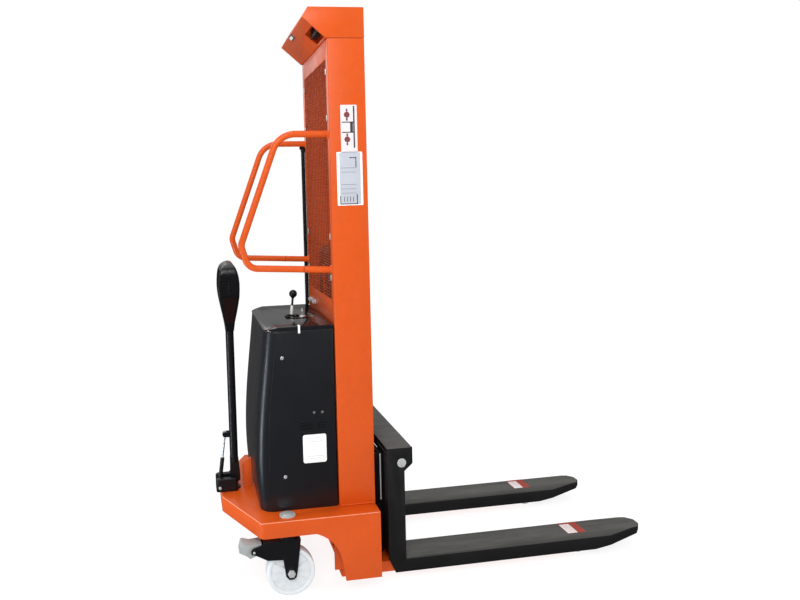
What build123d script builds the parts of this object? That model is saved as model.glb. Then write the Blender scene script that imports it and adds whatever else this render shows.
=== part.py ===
from build123d import *
import os
from math import atan2, cos, degrees, hypot, radians, sin

# Walkie stacker, semi-electric, single-stage mast, forks over support legs.
# Frame: +X towards the fork tips, +Y to the machine's left, +Z up, millimetres.
# Origin: on the floor under the middle of the overall length and width.

# ---------------------------------------------------------------- driving sizes
overall_length = 1650
overall_height = 2080
tip_x = overall_length / 2
rear_x = -overall_length / 2

# mast
mast_front_x = tip_x - 1078
mast_depth = 135
mast_rear_x = mast_front_x - mast_depth
mast_mid_x = mast_front_x - mast_depth / 2
mast_half = 270
channel_flange = 42
channel_web = 8
flange_thick = 10
channel_foot_z = 60
hood_height = 107
channel_top_z = overall_height - hood_height
channel_mid_y = mast_half - channel_flange / 2
window_half = mast_half - channel_flange

# chassis
deck_z = 284
deck_thick = 8
skirt_thick = 6
skirt_z = 227
chassis_half = 350
deck_front_x = mast_front_x - 3
deck_corner_x = deck_front_x - 429
nose_x = mast_front_x - 554
nose_half = 80
leg_plate_z = 44

# lift
lift_stroke = 1520
rod_stroke = lift_stroke / 2
cylinder_x = mast_mid_x - 12
pulley_z = 1180
pulley_pitch_r = 38
chain_y = 55
chain_thick = 12
chain_wide = 16
front_chain_x = cylinder_x + pulley_pitch_r
rear_chain_x = cylinder_x - pulley_pitch_r
front_bolt_z = 215
rear_bolt_z = 380

# forks and carriage
fork_outer = 297
fork_width = 140
fork_wall = 8
fork_top_z = 82
fork_low_z = 24
fork_mid_y = fork_outer - fork_width / 2
fork_inner = fork_outer - fork_width
heel_x = mast_front_x + 105
carriage_back_x = mast_front_x + 40
beam_front_x = mast_front_x + 136
beam_top_z = 490
shaft_x = mast_front_x + 95
shaft_z = 434
shaft_r = 17

# rollers
roller_r = mast_depth / 2 - flange_thick - 0.4
roller_wide = 26
roller_y = 246
roller_heights = {"lower": 125, "upper": 395}
carriage_plate_y = 212
plate_thick = 12

# support legs and load wheels
leg_low_z = 20
leg_top_z = channel_foot_z
leg_half_wide = 48
load_wheel_r = 35
load_wheel_x = 560

# rear casters
caster_x = mast_front_x - 333
caster_y = 303
caster_trail = 4
caster_wheel_r = 87
caster_wheel_wide = 48

# power cover
cover_half = 265
cover_front_x = mast_rear_x - 6
cover_top_z = 940
cover_corner_r = 50
cover_wall = 4
panel_top_z = 954

# tiller
tiller_x = mast_front_x - 498
tiller_pivot_x = tiller_x - 6
tiller_pivot_z = 318
tiller_tube_r = 16
neck_z = 908
head_top_z = 1173
spring_foot_x = mast_front_x - 558
spring_foot_z = 301
spring_eye_x = mast_front_x - 530
spring_eye_z = 499
swivel_pin_r = 12

sides = {"left": 1, "right": -1}
os.makedirs("parts", exist_ok=True)


def save(part, name):
    """Label a finished piece and write it as its own STEP file."""
    part.label = name
    export_step(part, f"parts/{name}.step")


def wall(profile, y_low, y_high):
    """Plate parallel to the XZ plane: profile is a list of (x, z) corners."""
    with BuildPart(mode=Mode.PRIVATE) as plate:
        with BuildSketch(Plane.XZ.offset(-y_high)):
            with BuildLine():
                Polyline(*profile, close=True)
            make_face()
        extrude(amount=y_high - y_low)
    return plate.part


# ---------------------------------------------------------------- chassis
deck_outline = [
    (deck_front_x, chassis_half),
    (deck_corner_x, chassis_half),
    (nose_x, nose_half),
    (nose_x, -nose_half),
    (deck_corner_x, -chassis_half),
    (deck_front_x, -chassis_half),
]
deck_under_z = deck_z - deck_thick
boss_r = 30
kingpin_r = 10
arch_flat_x = mast_front_x - 238
arch_mid = (mast_front_x - 178, 187)
arch_end = (mast_front_x - 146, 120)
leg_rear_x = mast_front_x - 134
inner_plate_y = 290
inner_plate_x = mast_front_x - 164
inner_plate_z = 60
lug_back_x = mast_front_x - 467
lug_front_x = mast_front_x - 433

with BuildPart() as chassis_frame:
    with BuildSketch(Plane.XY.offset(skirt_z)):
        with BuildLine():
            Polyline(*deck_outline, close=True)
        make_face()
    extrude(amount=deck_z - skirt_z)
    fillet(chassis_frame.edges().filter_by(Axis.Z).group_by(Axis.X)[1], 22)
    fillet(chassis_frame.edges().filter_by(Axis.Z).group_by(Axis.X)[0], 14)
    with BuildSketch(Plane.XY.offset(skirt_z)):
        with BuildLine():
            Polyline(*deck_outline, close=True)
        make_face()
        offset(amount=-skirt_thick, kind=Kind.INTERSECTION)
    extrude(amount=deck_under_z - skirt_z, mode=Mode.SUBTRACT)
    for side in sides.values():
        # outer leg plate with the arch over the caster
        with BuildSketch(Plane.XZ.offset(-side * (chassis_half - skirt_thick / 2))):
            with BuildLine():
                ThreePointArc((arch_flat_x, skirt_z), arch_mid, arch_end)
                Polyline(
                    arch_end,
                    (leg_rear_x, leg_plate_z),
                    (deck_front_x, leg_plate_z),
                    (deck_front_x, deck_under_z + 4),
                    (arch_flat_x, deck_under_z + 4),
                    (arch_flat_x, skirt_z),
                )
            make_face()
        extrude(amount=skirt_thick / 2, both=True)
        # inner leg plate and front closing plate
        inner_mid_x = (inner_plate_x + deck_front_x) / 2
        inner_mid_z = (inner_plate_z + deck_under_z + 4) / 2
        with Locations((inner_mid_x, side * (inner_plate_y + skirt_thick / 2), inner_mid_z)):
            Box(deck_front_x - inner_plate_x, skirt_thick, 2 * (inner_mid_z - inner_plate_z))
        front_low_z = leg_top_z + 1
        front_high = deck_under_z + 4 - front_low_z
        front_wide = chassis_half - mast_half - 1
        front_place = (
            deck_front_x - skirt_thick / 2,
            side * (chassis_half - front_wide / 2),
            front_low_z + front_high / 2,
        )
        with Locations(front_place):
            Box(skirt_thick, front_wide, front_high)
        # caster boss
        with Locations((caster_x, side * caster_y, (skirt_z + deck_under_z + 2) / 2)):
            Cylinder(boss_r, deck_under_z + 2 - skirt_z)
    # bay for the mast and the carriage
    bay_high = deck_z - skirt_z + 20
    with Locations((mast_rear_x, 0, skirt_z + bay_high / 2 - 10)):
        bay_long = mast_depth + 60
        Box(
            bay_long,
            2 * mast_half,
            bay_high,
            align=(Align.MIN, Align.CENTER, Align.CENTER),
            mode=Mode.SUBTRACT,
        )
    with Locations(*[(caster_x, s * caster_y, deck_z) for s in sides.values()]):
        Hole(kingpin_r + 0.05, depth=deck_z - skirt_z + 20)
    # upright lug between the cover and the tiller seat
    with BuildSketch(Plane.XZ):
        with BuildLine():
            Polyline(
                (lug_back_x, deck_z - 3),
                (lug_back_x, 376),
                (lug_front_x, 399),
                (lug_front_x, deck_z - 3),
                close=True,
            )
        make_face()
    extrude(amount=5, both=True)
    # hole for the vertical swivel pin of the tiller seat
    with Locations((tiller_x, 0, deck_z)):
        Hole(swivel_pin_r + 0.05, depth=deck_thick + 2)
save(chassis_frame.part, "chassis_frame")

# ---------------------------------------------------------------- mast
for name, side in sides.items():
    with BuildPart() as mast_channel:
        with BuildSketch(Plane.XY.offset(channel_foot_z)):
            with Locations((mast_mid_x, side * channel_mid_y)):
                Rectangle(mast_depth, channel_flange)
            pocket_wide = channel_flange - channel_web
            with Locations((mast_mid_x, side * (window_half + pocket_wide / 2))):
                Rectangle(mast_depth - 2 * flange_thick, pocket_wide, mode=Mode.SUBTRACT)
        extrude(amount=channel_top_z - channel_foot_z)
    save(mast_channel.part, f"mast_channel_{name}")

hood_plate = 6
hood_top_rear_x = mast_front_x - 201
beak_x = mast_front_x - 222
beak_z = overall_height - 35
hood_outer = [
    (mast_front_x, channel_top_z),
    (mast_front_x, overall_height),
    (hood_top_rear_x, overall_height),
    (beak_x, beak_z),
    (mast_rear_x - 5, channel_top_z),
]
hood_inner = [
    (mast_front_x - hood_plate, channel_top_z - 10),
    (mast_front_x - hood_plate, overall_height - hood_plate),
    (hood_top_rear_x + 3, overall_height - hood_plate),
    (beak_x + 8, beak_z),
    (mast_rear_x + 1, channel_top_z + 2),
    (mast_rear_x + 1, channel_top_z - 10),
]
with BuildPart() as mast_hood:
    add(wall(hood_outer, -mast_half, mast_half))
    add(wall(hood_inner, hood_plate - mast_half, mast_half - hood_plate), mode=Mode.SUBTRACT)
    # cable opening in the sloping rear underside, beside the right upright
    with Locations((mast_front_x - 164, -192, channel_top_z + 25)):
        Box(46, 142, 70, mode=Mode.SUBTRACT)
save(mast_hood.part, "mast_hood")

cross_thick = 6
cross_x = mast_rear_x + cross_thick / 2
upper_cross_low = 1905
lower_cross_low = 946
lower_cross_high = 1038
with BuildPart() as upper_cross_plate:
    with Locations((cross_x, 0, (upper_cross_low + channel_top_z) / 2)):
        Box(cross_thick, 2 * window_half, channel_top_z - upper_cross_low)
save(upper_cross_plate.part, "upper_cross_plate")

barrel_r = 30
clamp_z = 1000
clamp_high = 30
with BuildPart() as lower_cross_plate:
    with Locations((cross_x, 0, (lower_cross_low + lower_cross_high) / 2)):
        Box(cross_thick, 2 * window_half, lower_cross_high - lower_cross_low)
    # welded clamp that steadies the cylinder
    with Locations((cylinder_x, 0, clamp_z)):
        Cylinder(barrel_r + 10, clamp_high)
    reach = cylinder_x - barrel_r - mast_rear_x
    with Locations((mast_rear_x + reach / 2, 0, clamp_z)):
        Box(reach, 32, clamp_high)
    with Locations((cylinder_x, 0, clamp_z)):
        Cylinder(barrel_r + 0.05, clamp_high + 2, mode=Mode.SUBTRACT)
save(lower_cross_plate.part, "lower_cross_plate")

# wire guard over the mast window: vertical rods with horizontal wires, as one slotted sheet
guard_thick = 3
guard_half = window_half - 1
guard_rows = 62
guard_columns = 9
guard_pitch_z = (upper_cross_low - lower_cross_high) / guard_rows
guard_pitch_y = 2 * guard_half / guard_columns
with BuildPart() as guard_mesh:
    with BuildSketch(Plane.YZ.offset(mast_rear_x)):
        with Locations((0, (upper_cross_low + lower_cross_high) / 2)):
            Rectangle(2 * guard_half, upper_cross_low - lower_cross_high)
            with GridLocations(guard_pitch_y, guard_pitch_z, guard_columns, guard_rows):
                Rectangle(guard_pitch_y - 5, guard_pitch_z - 4, mode=Mode.SUBTRACT)
    extrude(amount=guard_thick)
save(guard_mesh.part, "guard_mesh")

# grab rails: bent round tube, both ends on the rear flange of an upright
rail_y = 239.5
rail_r = 12
rail_route = [
    (mast_rear_x, 1635),
    (mast_front_x - 309, 1635),
    (mast_front_x - 460, 1250),
    (mast_front_x - 435, 1168),
    (mast_rear_x + 2, 1150),
]
for name, side in sides.items():
    with BuildPart() as grab_rail:
        with BuildLine(Plane.XZ.offset(-side * rail_y)) as rail_path:
            FilletPolyline(*rail_route, radius=[38, 42, 46])
        with BuildSketch(Plane(rail_path.line @ 0, z_dir=rail_path.line % 0)):
            Circle(rail_r)
            Circle(rail_r - 2.5, mode=Mode.SUBTRACT)
        sweep()
        split(bisect_by=Plane.YZ.offset(mast_rear_x), keep=Keep.BOTTOM)
    save(grab_rail.part, f"grab_rail_{name}")

# ---------------------------------------------------------------- support legs
leg_wall = 5
cheek_lobe_r = 14
leg_end_x = load_wheel_x + 38
slot_back_x = load_wheel_x - 45
leg_high = leg_top_z - leg_low_z
with BuildPart() as support_leg_frame:
    for side in sides.values():
        leg_y = side * fork_mid_y
        with Locations((mast_rear_x, leg_y, (leg_low_z + leg_top_z) / 2)):
            Box(
                leg_end_x - mast_rear_x,
                2 * leg_half_wide,
                leg_high,
                align=(Align.MIN, Align.CENTER, Align.CENTER),
            )
        with Locations((mast_rear_x + leg_wall, leg_y, (leg_low_z + leg_top_z) / 2)):
            Box(
                slot_back_x - 2 * leg_wall - mast_rear_x,
                2 * (leg_half_wide - leg_wall),
                leg_high - 2 * leg_wall,
                align=(Align.MIN, Align.CENTER, Align.CENTER),
                mode=Mode.SUBTRACT,
            )
        # lobes round the axle holes of the fork-end wheel slot
        with BuildSketch(Plane.XZ.offset(-leg_y)):
            with Locations((load_wheel_x, load_wheel_r)):
                Circle(cheek_lobe_r + 6)
        extrude(amount=leg_half_wide, both=True)
        with Locations((slot_back_x, leg_y, leg_top_z / 2)):
            Box(
                leg_end_x - slot_back_x + 10,
                2 * (leg_half_wide - leg_wall),
                leg_top_z + 40,
                align=(Align.MIN, Align.CENTER, Align.CENTER),
                mode=Mode.SUBTRACT,
            )
        with BuildSketch(Plane.XZ.offset(-leg_y)):
            with Locations((load_wheel_x, load_wheel_r)):
                Circle(8.05)
        extrude(amount=leg_half_wide + 1, both=True, mode=Mode.SUBTRACT)
    tie_half = fork_mid_y - leg_half_wide
    with Locations((mast_mid_x, 0, leg_top_z - 8)):
        Box(mast_depth, 2 * tie_half + 2, 16)
save(support_leg_frame.part, "support_leg_frame")

with BuildPart() as load_wheel_axles:
    for side in sides.values():
        with BuildSketch(Plane.XZ.offset(-side * fork_mid_y)):
            with Locations((load_wheel_x, load_wheel_r)):
                Circle(8)
        extrude(amount=leg_half_wide, both=True)
save(load_wheel_axles.part, "load_wheel_axles")

load_wheel_half = 35
for name, side in sides.items():
    with BuildPart() as load_wheel:
        with BuildSketch(Plane.XZ.offset(-side * fork_mid_y)):
            with Locations((load_wheel_x, load_wheel_r)):
                Circle(load_wheel_r)
                Circle(8.1, mode=Mode.SUBTRACT)
        extrude(amount=load_wheel_half, both=True)
        chamfer(load_wheel.edges().filter_by(GeomType.CIRCLE).sort_by(SortBy.RADIUS)[-2:], 3)
    save(load_wheel.part, f"load_wheel_{name}")

# ---------------------------------------------------------------- lift cylinder
barrel_foot_z = leg_top_z
barrel_top_z = 1085
bore_r = 25
gland_top_z = 1110
rod_r = 17
port_z = 190
with BuildPart() as cylinder_barrel:
    with Locations((cylinder_x, 0, barrel_foot_z)):
        Cylinder(42, 12, align=(Align.CENTER, Align.CENTER, Align.MIN))
        Cylinder(
            barrel_r,
            barrel_top_z - barrel_foot_z,
            align=(Align.CENTER, Align.CENTER, Align.MIN),
        )
    # pressure port elbow on the rear of the barrel
    with Locations((cylinder_x - barrel_r - 8, 0, port_z)):
        Box(24, 20, 20)
    with Locations((cylinder_x, 0, barrel_foot_z + 20)):
        Cylinder(
            bore_r,
            barrel_top_z - barrel_foot_z,
            align=(Align.CENTER, Align.CENTER, Align.MIN),
            mode=Mode.SUBTRACT,
        )
save(cylinder_barrel.part, "cylinder_barrel")

with BuildPart() as cylinder_gland:
    with Locations((cylinder_x, 0, barrel_top_z)):
        Cylinder(33, gland_top_z - barrel_top_z, align=(Align.CENTER, Align.CENTER, Align.MIN))
        Hole(rod_r + 0.05, depth=5)
    with Locations((cylinder_x, 0, gland_top_z)):
        Hole(rod_r + 0.05, depth=gland_top_z - barrel_top_z)
    chamfer(cylinder_gland.faces().sort_by(Axis.Z)[-1].edges(), 1.5)
save(cylinder_gland.part, "cylinder_gland")

piston_z = 160
yoke_low_z = 1140
yoke_high_z = 1206
with BuildPart() as piston_rod:
    with Locations((cylinder_x, 0, piston_z - 20)):
        Cylinder(bore_r - 0.1, 40, align=(Align.CENTER, Align.CENTER, Align.MIN))
        Cylinder(rod_r, yoke_low_z - piston_z + 20, align=(Align.CENTER, Align.CENTER, Align.MIN))
save(piston_rod.part, "piston_rod")

pulley_axle_r = 10
with BuildPart() as chain_yoke:
    with Locations((cylinder_x, 0, (yoke_low_z + yoke_high_z) / 2)):
        Box(44, 72, yoke_high_z - yoke_low_z)
    chamfer(chain_yoke.edges().filter_by(Axis.Y), 6)
    with BuildSketch(Plane.XZ):
        with Locations((cylinder_x, pulley_z)):
            Circle(pulley_axle_r)
    extrude(amount=78, both=True)
save(chain_yoke.part, "chain_yoke")

pulley_half = 13
with BuildPart() as chain_pulleys:
    for side in sides.values():
        with BuildSketch(Plane.XZ.offset(-side * chain_y)):
            with Locations((cylinder_x, pulley_z)):
                Circle(pulley_pitch_r + 7)
        extrude(amount=pulley_half, both=True)
        with BuildSketch(Plane.XZ.offset(-side * chain_y)):
            with Locations((cylinder_x, pulley_z)):
                Circle(pulley_pitch_r + 10)
                Circle(pulley_pitch_r - chain_thick / 2, mode=Mode.SUBTRACT)
        extrude(amount=pulley_half - 4, both=True, mode=Mode.SUBTRACT)
        with BuildSketch(Plane.XZ.offset(-side * chain_y)):
            with Locations((cylinder_x, pulley_z)):
                Circle(pulley_axle_r + 0.08)
        extrude(amount=pulley_half + 1, both=True, mode=Mode.SUBTRACT)
save(chain_pulleys.part, "chain_pulleys")


def anchor_bolts(x, top_z, lug_z, lug_thick):
    """Two chain anchor bolts with an eye on top and nuts both sides of a lug."""
    with BuildPart(mode=Mode.PRIVATE) as bolts:
        for side in sides.values():
            with Locations((x, side * chain_y, top_z)):
                Cylinder(7, top_z - lug_z + 40, align=(Align.CENTER, Align.CENTER, Align.MAX))
                Box(12, 14, 26, align=(Align.CENTER, Align.CENTER, Align.MAX))
            nut_levels = (lug_z + lug_thick / 2, lug_z - lug_thick / 2 - 10)
            for level in nut_levels:
                with BuildSketch(Plane.XY.offset(level)):
                    with Locations((x, side * chain_y)):
                        RegularPolygon(11, 6)
                extrude(amount=10)
    return bolts.part


chain_lug_z = 150
chain_lug_thick = 14
save(anchor_bolts(front_chain_x, front_bolt_z, chain_lug_z, chain_lug_thick), "front_chain_bolts")

rear_lug_z = 316
save(anchor_bolts(rear_chain_x, rear_bolt_z, rear_lug_z, chain_lug_thick), "rear_chain_bolts")

# leaf chains, plain closed solids: one pair each side of the pulleys
for name, x, low_z in (
    ("front_chains", front_chain_x, front_bolt_z),
    ("rear_chains", rear_chain_x, rear_bolt_z),
):
    with BuildPart() as chains:
        with Locations(*[(x, s * chain_y, low_z) for s in sides.values()]):
            Box(
                chain_thick,
                chain_wide,
                pulley_z - low_z,
                align=(Align.CENTER, Align.CENTER, Align.MIN),
            )
    save(chains.part, name)

# bracket on the lower mast that holds the rear chain bolts
with BuildPart() as rear_chain_bracket:
    with Locations((cross_x, 0, rear_lug_z)):
        Box(cross_thick, 2 * window_half, 60)
    for side in sides.values():
        with Locations((mast_rear_x + 16, side * chain_y, rear_lug_z)):
            Box(32, 34, chain_lug_thick)
    with Locations(*[(rear_chain_x, s * chain_y, rear_lug_z + 20) for s in sides.values()]):
        Hole(7.05, depth=40)
save(rear_chain_bracket.part, "rear_chain_bracket")

# ---------------------------------------------------------------- carriage
plate_back_x = mast_rear_x + 18
plate_low_z = 70
plate_high_z = 450
with BuildPart() as carriage_frame:
    for side in sides.values():
        plate_long = carriage_back_x - plate_back_x
        plate_place = (
            plate_back_x + plate_long / 2,
            side * carriage_plate_y,
            (plate_low_z + plate_high_z) / 2,
        )
        with Locations(plate_place):
            Box(plate_long, plate_thick, plate_high_z - plate_low_z)
    bar_half = carriage_plate_y - plate_thick / 2
    for low_z, high_z, thick in ((plate_high_z - 85, plate_high_z, 12), (100, 185, 22)):
        with Locations((carriage_back_x - thick / 2, 0, (low_z + high_z) / 2)):
            Box(thick, 2 * bar_half + 1, high_z - low_z)
    # lugs for the lift chains, passing either side of the cylinder
    lug_back = front_chain_x - 15
    for side in sides.values():
        with Locations((lug_back, side * chain_y, chain_lug_z)):
            Box(
                carriage_back_x - 20 - lug_back,
                30,
                chain_lug_thick,
                align=(Align.MIN, Align.CENTER, Align.CENTER),
            )
    with Locations(*[(front_chain_x, s * chain_y, chain_lug_z + 20) for s in sides.values()]):
        Hole(7.05, depth=40)
    # stub axles for the mast rollers, welded through the side plates
    stub_in_y = carriage_plate_y - plate_thick / 2
    stub_half = (roller_y + 10 - stub_in_y) / 2
    for side in sides.values():
        for height in roller_heights.values():
            with BuildSketch(Plane.XZ.offset(-side * (stub_in_y + stub_half))):
                with Locations((mast_mid_x, height)):
                    Circle(15)
            extrude(amount=stub_half, both=True)
save(carriage_frame.part, "carriage_frame")

for name, side in sides.items():
    for level, height in roller_heights.items():
        with BuildPart() as mast_roller:
            with BuildSketch(Plane.XZ.offset(-side * roller_y)):
                with Locations((mast_mid_x, height)):
                    Circle(roller_r)
                    Circle(15.08, mode=Mode.SUBTRACT)
            extrude(amount=roller_wide / 2, both=True)
            rims = mast_roller.edges().filter_by(GeomType.CIRCLE).sort_by(SortBy.RADIUS)[-2:]
            chamfer(rims, 2)
        save(mast_roller.part, f"mast_roller_{level}_{name}")

beam_plate = 8
beam_half = fork_outer - fork_wall
beam_low_z = 430
with BuildPart() as carriage_beam:
    beam_deep = beam_front_x - carriage_back_x
    with Locations((carriage_back_x + beam_deep / 2, 0, beam_top_z - beam_plate / 2)):
        Box(beam_deep, 2 * beam_half, beam_plate)
    front_high = beam_top_z - beam_low_z
    with Locations((beam_front_x - beam_plate / 2, 0, beam_low_z + front_high / 2)):
        Box(beam_plate, 2 * beam_half, front_high)
    # rear wall, down to the carriage cross bar
    with Locations((carriage_back_x + beam_plate / 2, 0, (plate_high_z + beam_top_z) / 2)):
        Box(beam_plate, 2 * (fork_inner - 0.5), beam_top_z - plate_high_z)
save(carriage_beam.part, "carriage_beam")

# forks: pressed blade open underneath, riding over the support legs, with a boxed heel
blade_skin = 6
shoulder_in = 23
shoulder_drop = 10
tip_low_z = 58
tip_bevel = 213
tip_taper = 150
tip_half = 42
cheek_front_z = 430
cheek_step_z = 403


def blade_section(half, top, low):
    """Outline of a blade across its width: a flat top with sloping shoulders."""
    return [
        (half, low),
        (half, top - shoulder_drop),
        (half - shoulder_in, top),
        (shoulder_in - half, top),
        (-half, top - shoulder_drop),
        (-half, low),
    ]


for name, side in sides.items():
    mid_y = side * fork_mid_y
    half = fork_width / 2
    with BuildPart() as fork:
        # blade skin
        with BuildSketch(Plane.YZ.offset(heel_x - fork_wall)):
            with BuildLine():
                outline = blade_section(half, fork_top_z, fork_low_z)
                Polyline(*[(mid_y + y, z) for y, z in outline], close=True)
            make_face()
        extrude(amount=tip_x - heel_x + fork_wall)
        # hollow underneath, stopped short of the tip
        with BuildSketch(Plane.YZ.offset(heel_x - fork_wall - 1)):
            with BuildLine():
                inner_half = half - fork_wall
                hollow = [
                    (inner_half, fork_low_z - 1),
                    (inner_half, fork_top_z - shoulder_drop - blade_skin),
                    (inner_half - shoulder_in + 6, fork_top_z - blade_skin),
                    (shoulder_in - 6 - inner_half, fork_top_z - blade_skin),
                    (-inner_half, fork_top_z - shoulder_drop - blade_skin),
                    (-inner_half, fork_low_z - 1),
                ]
                Polyline(*[(mid_y + y, z) for y, z in hollow], close=True)
            make_face()
        extrude(amount=tip_x - tip_taper - heel_x + fork_wall, mode=Mode.SUBTRACT)
        # plan shape of the tip
        with BuildSketch(Plane.XY.offset(fork_low_z - 5)):
            with BuildLine():
                Polyline(
                    (heel_x - fork_wall - 5, mid_y - half - 1),
                    (tip_x - tip_taper, mid_y - half - 1),
                    (tip_x - tip_taper, mid_y - half),
                    (tip_x - 22, mid_y - tip_half),
                    (tip_x, mid_y - tip_half + 24),
                    (tip_x, mid_y + tip_half - 24),
                    (tip_x - 22, mid_y + tip_half),
                    (tip_x - tip_taper, mid_y + half),
                    (tip_x - tip_taper, mid_y + half + 1),
                    (heel_x - fork_wall - 5, mid_y + half + 1),
                    close=True,
                )
            make_face()
        extrude(amount=fork_top_z - fork_low_z + 10, mode=Mode.INTERSECT)
        # bevel under the tip
        bevel_under = wall(
            [
                (tip_x - tip_bevel, fork_low_z - 2),
                (tip_x - tip_bevel, fork_low_z),
                (tip_x + 1, tip_low_z),
                (tip_x + 1, fork_low_z - 2),
            ],
            mid_y - half - 2,
            mid_y + half + 2,
        )
        add(bevel_under, mode=Mode.SUBTRACT)
        # outer and inner cheeks of the heel
        outer_cheek = [
            (carriage_back_x, 76),
            (carriage_back_x, beam_top_z),
            (beam_front_x, beam_top_z),
            (beam_front_x, cheek_front_z),
            (heel_x, cheek_step_z),
            (heel_x, fork_low_z),
            (carriage_back_x + 24, fork_low_z),
        ]
        inner_cheek = [
            (carriage_back_x, 76),
            (carriage_back_x, beam_top_z - beam_plate - 0.2),
            (beam_front_x - beam_plate - 0.2, beam_top_z - beam_plate - 0.2),
            (beam_front_x - beam_plate - 0.2, cheek_front_z),
            (heel_x, cheek_step_z),
            (heel_x, fork_low_z),
            (carriage_back_x + 24, fork_low_z),
        ]
        outer_edge = side * fork_outer
        outer_in = side * (fork_outer - fork_wall + 0.05)
        add(wall(outer_cheek, min(outer_edge, outer_in), max(outer_edge, outer_in)))
        inner_edge = side * fork_inner
        inner_in = side * (fork_inner + fork_wall)
        add(wall(inner_cheek, min(inner_edge, inner_in), max(inner_edge, inner_in)))
        # front and rear plates between the cheeks
        with Locations((heel_x - fork_wall / 2, mid_y, (fork_top_z - 4 + cheek_step_z) / 2)):
            Box(fork_wall, fork_width - 1, cheek_step_z - fork_top_z + 4)
        with Locations((carriage_back_x + 3, mid_y, 280)):
            Box(6, fork_width - 1, 380)
        with BuildSketch(Plane.XZ.offset(-mid_y)):
            with Locations((shaft_x, shaft_z)):
                Circle(shaft_r + 0.05)
        extrude(amount=half + 2, both=True, mode=Mode.SUBTRACT)
    save(fork.part, f"fork_{name}")

with BuildPart() as fork_shaft:
    with BuildSketch(Plane.XZ):
        with Locations((shaft_x, shaft_z)):
            Circle(shaft_r)
    extrude(amount=fork_outer + 2, both=True)
    chamfer(fork_shaft.edges().filter_by(GeomType.CIRCLE), 1.5)
save(fork_shaft.part, "fork_shaft")

# ---------------------------------------------------------------- power cover
cover_sections = {deck_z: -421, 450: -431, 760: -408, cover_top_z: -388}


def cover_loft(inset, cut_low, cut_high):
    """Tapering closed body of the cover, inset from its outer skin."""
    with BuildPart(mode=Mode.PRIVATE) as body:
        for height, rear in cover_sections.items():
            level = height
            if height == deck_z:
                level = height - cut_low
            if height == cover_top_z:
                level = height + cut_high
            back_x = mast_front_x + rear + inset
            front_x = cover_front_x + (inset and 5)
            with BuildSketch(Plane.XY.offset(level)) as section:
                with Locations(((back_x + front_x) / 2, 0)):
                    Rectangle(front_x - back_x, 2 * (cover_half - inset))
                corners = section.vertices().group_by(Axis.X)[0]
                fillet(corners, cover_corner_r - inset)
        loft()
    return body.part


lever_x = mast_front_x - 260
lever_y = -28
lever_pivot_z = panel_top_z - 24
lever_ear = 21
lever_pin_r = 4
conduit_r = 8.5
conduit_x = mast_rear_x - conduit_r - 1
conduit_y = 260.4
with BuildPart() as power_cover:
    add(cover_loft(0, 0, 0))
    add(cover_loft(cover_wall, 5, 5), mode=Mode.SUBTRACT)
save(power_cover.part, "power_cover")

panel_bevel_x = mast_front_x - 340
panel_back_x = mast_front_x - 390
with BuildPart() as cover_top_panel:
    panel_profile = [
        (cover_front_x, cover_top_z),
        (cover_front_x, panel_top_z),
        (panel_bevel_x, panel_top_z),
        (panel_back_x, cover_top_z + 3),
        (panel_back_x, cover_top_z),
    ]
    add(wall(panel_profile, -cover_half, cover_half))
    rear_corners = cover_top_panel.edges().filter_by(Axis.Z).group_by(Axis.X)[0]
    fillet(rear_corners, cover_corner_r)
    with Locations((lever_x, lever_y, panel_top_z)):
        Hole(18, depth=30)
    # two ears under the panel that carry the lever's pivot pin
    for side in sides.values():
        ear_y = lever_y + side * lever_ear
        with BuildSketch(Plane.XZ.offset(-ear_y)):
            with Locations((lever_x, lever_pivot_z + 3)):
                Rectangle(20, 32)
            with Locations((lever_x, lever_pivot_z)):
                Circle(lever_pin_r + 0.06, mode=Mode.SUBTRACT)
        extrude(amount=2, both=True)
save(cover_top_panel.part, "cover_top_panel")

screw_spots = ((mast_front_x - 330, 844), (mast_front_x - 331, 410))
with BuildPart() as cover_screws:
    for side in sides.values():
        for x, z in screw_spots:
            with BuildSketch(Plane.XZ.offset(-side * (cover_half + 1.5))):
                with Locations((x, z)):
                    Circle(6)
            extrude(amount=1.5, both=True)
save(cover_screws.part, "cover_screws")

# ---------------------------------------------------------------- inside the cover
battery_x = mast_front_x - 340
with BuildPart() as battery:
    with Locations((battery_x, 0, deck_z)):
        Box(150, 400, 225, align=(Align.CENTER, Align.CENTER, Align.MIN))
    fillet(battery.edges().filter_by(Axis.Z), 6)
    for side in sides.values():
        with Locations((battery_x + 45, side * 160, deck_z + 225)):
            Cylinder(9, 18, align=(Align.CENTER, Align.CENTER, Align.MIN))
save(battery.part, "battery")

unit_x = mast_front_x - 200
unit_y = -130
tank_high = 190
with BuildPart() as hydraulic_tank:
    with Locations((unit_x, unit_y, deck_z)):
        Box(104, 210, tank_high, align=(Align.CENTER, Align.CENTER, Align.MIN))
    fillet(hydraulic_tank.edges().filter_by(Axis.Z), 8)
save(hydraulic_tank.part, "hydraulic_tank")

block_z = deck_z + tank_high
block_high = 64
with BuildPart() as pump_block:
    with Locations((unit_x, unit_y, block_z)):
        Box(90, 100, block_high, align=(Align.CENTER, Align.CENTER, Align.MIN))
    chamfer(pump_block.edges().filter_by(Axis.Z), 4)
save(pump_block.part, "pump_block")

motor_z = block_z + block_high
with BuildPart() as pump_motor:
    with Locations((unit_x, unit_y, motor_z)):
        Cylinder(45, 170, align=(Align.CENTER, Align.CENTER, Align.MIN))
    with Locations((unit_x, unit_y, motor_z + 170)):
        Cylinder(38, 12, align=(Align.CENTER, Align.CENTER, Align.MIN))
save(pump_motor.part, "pump_motor")

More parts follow.
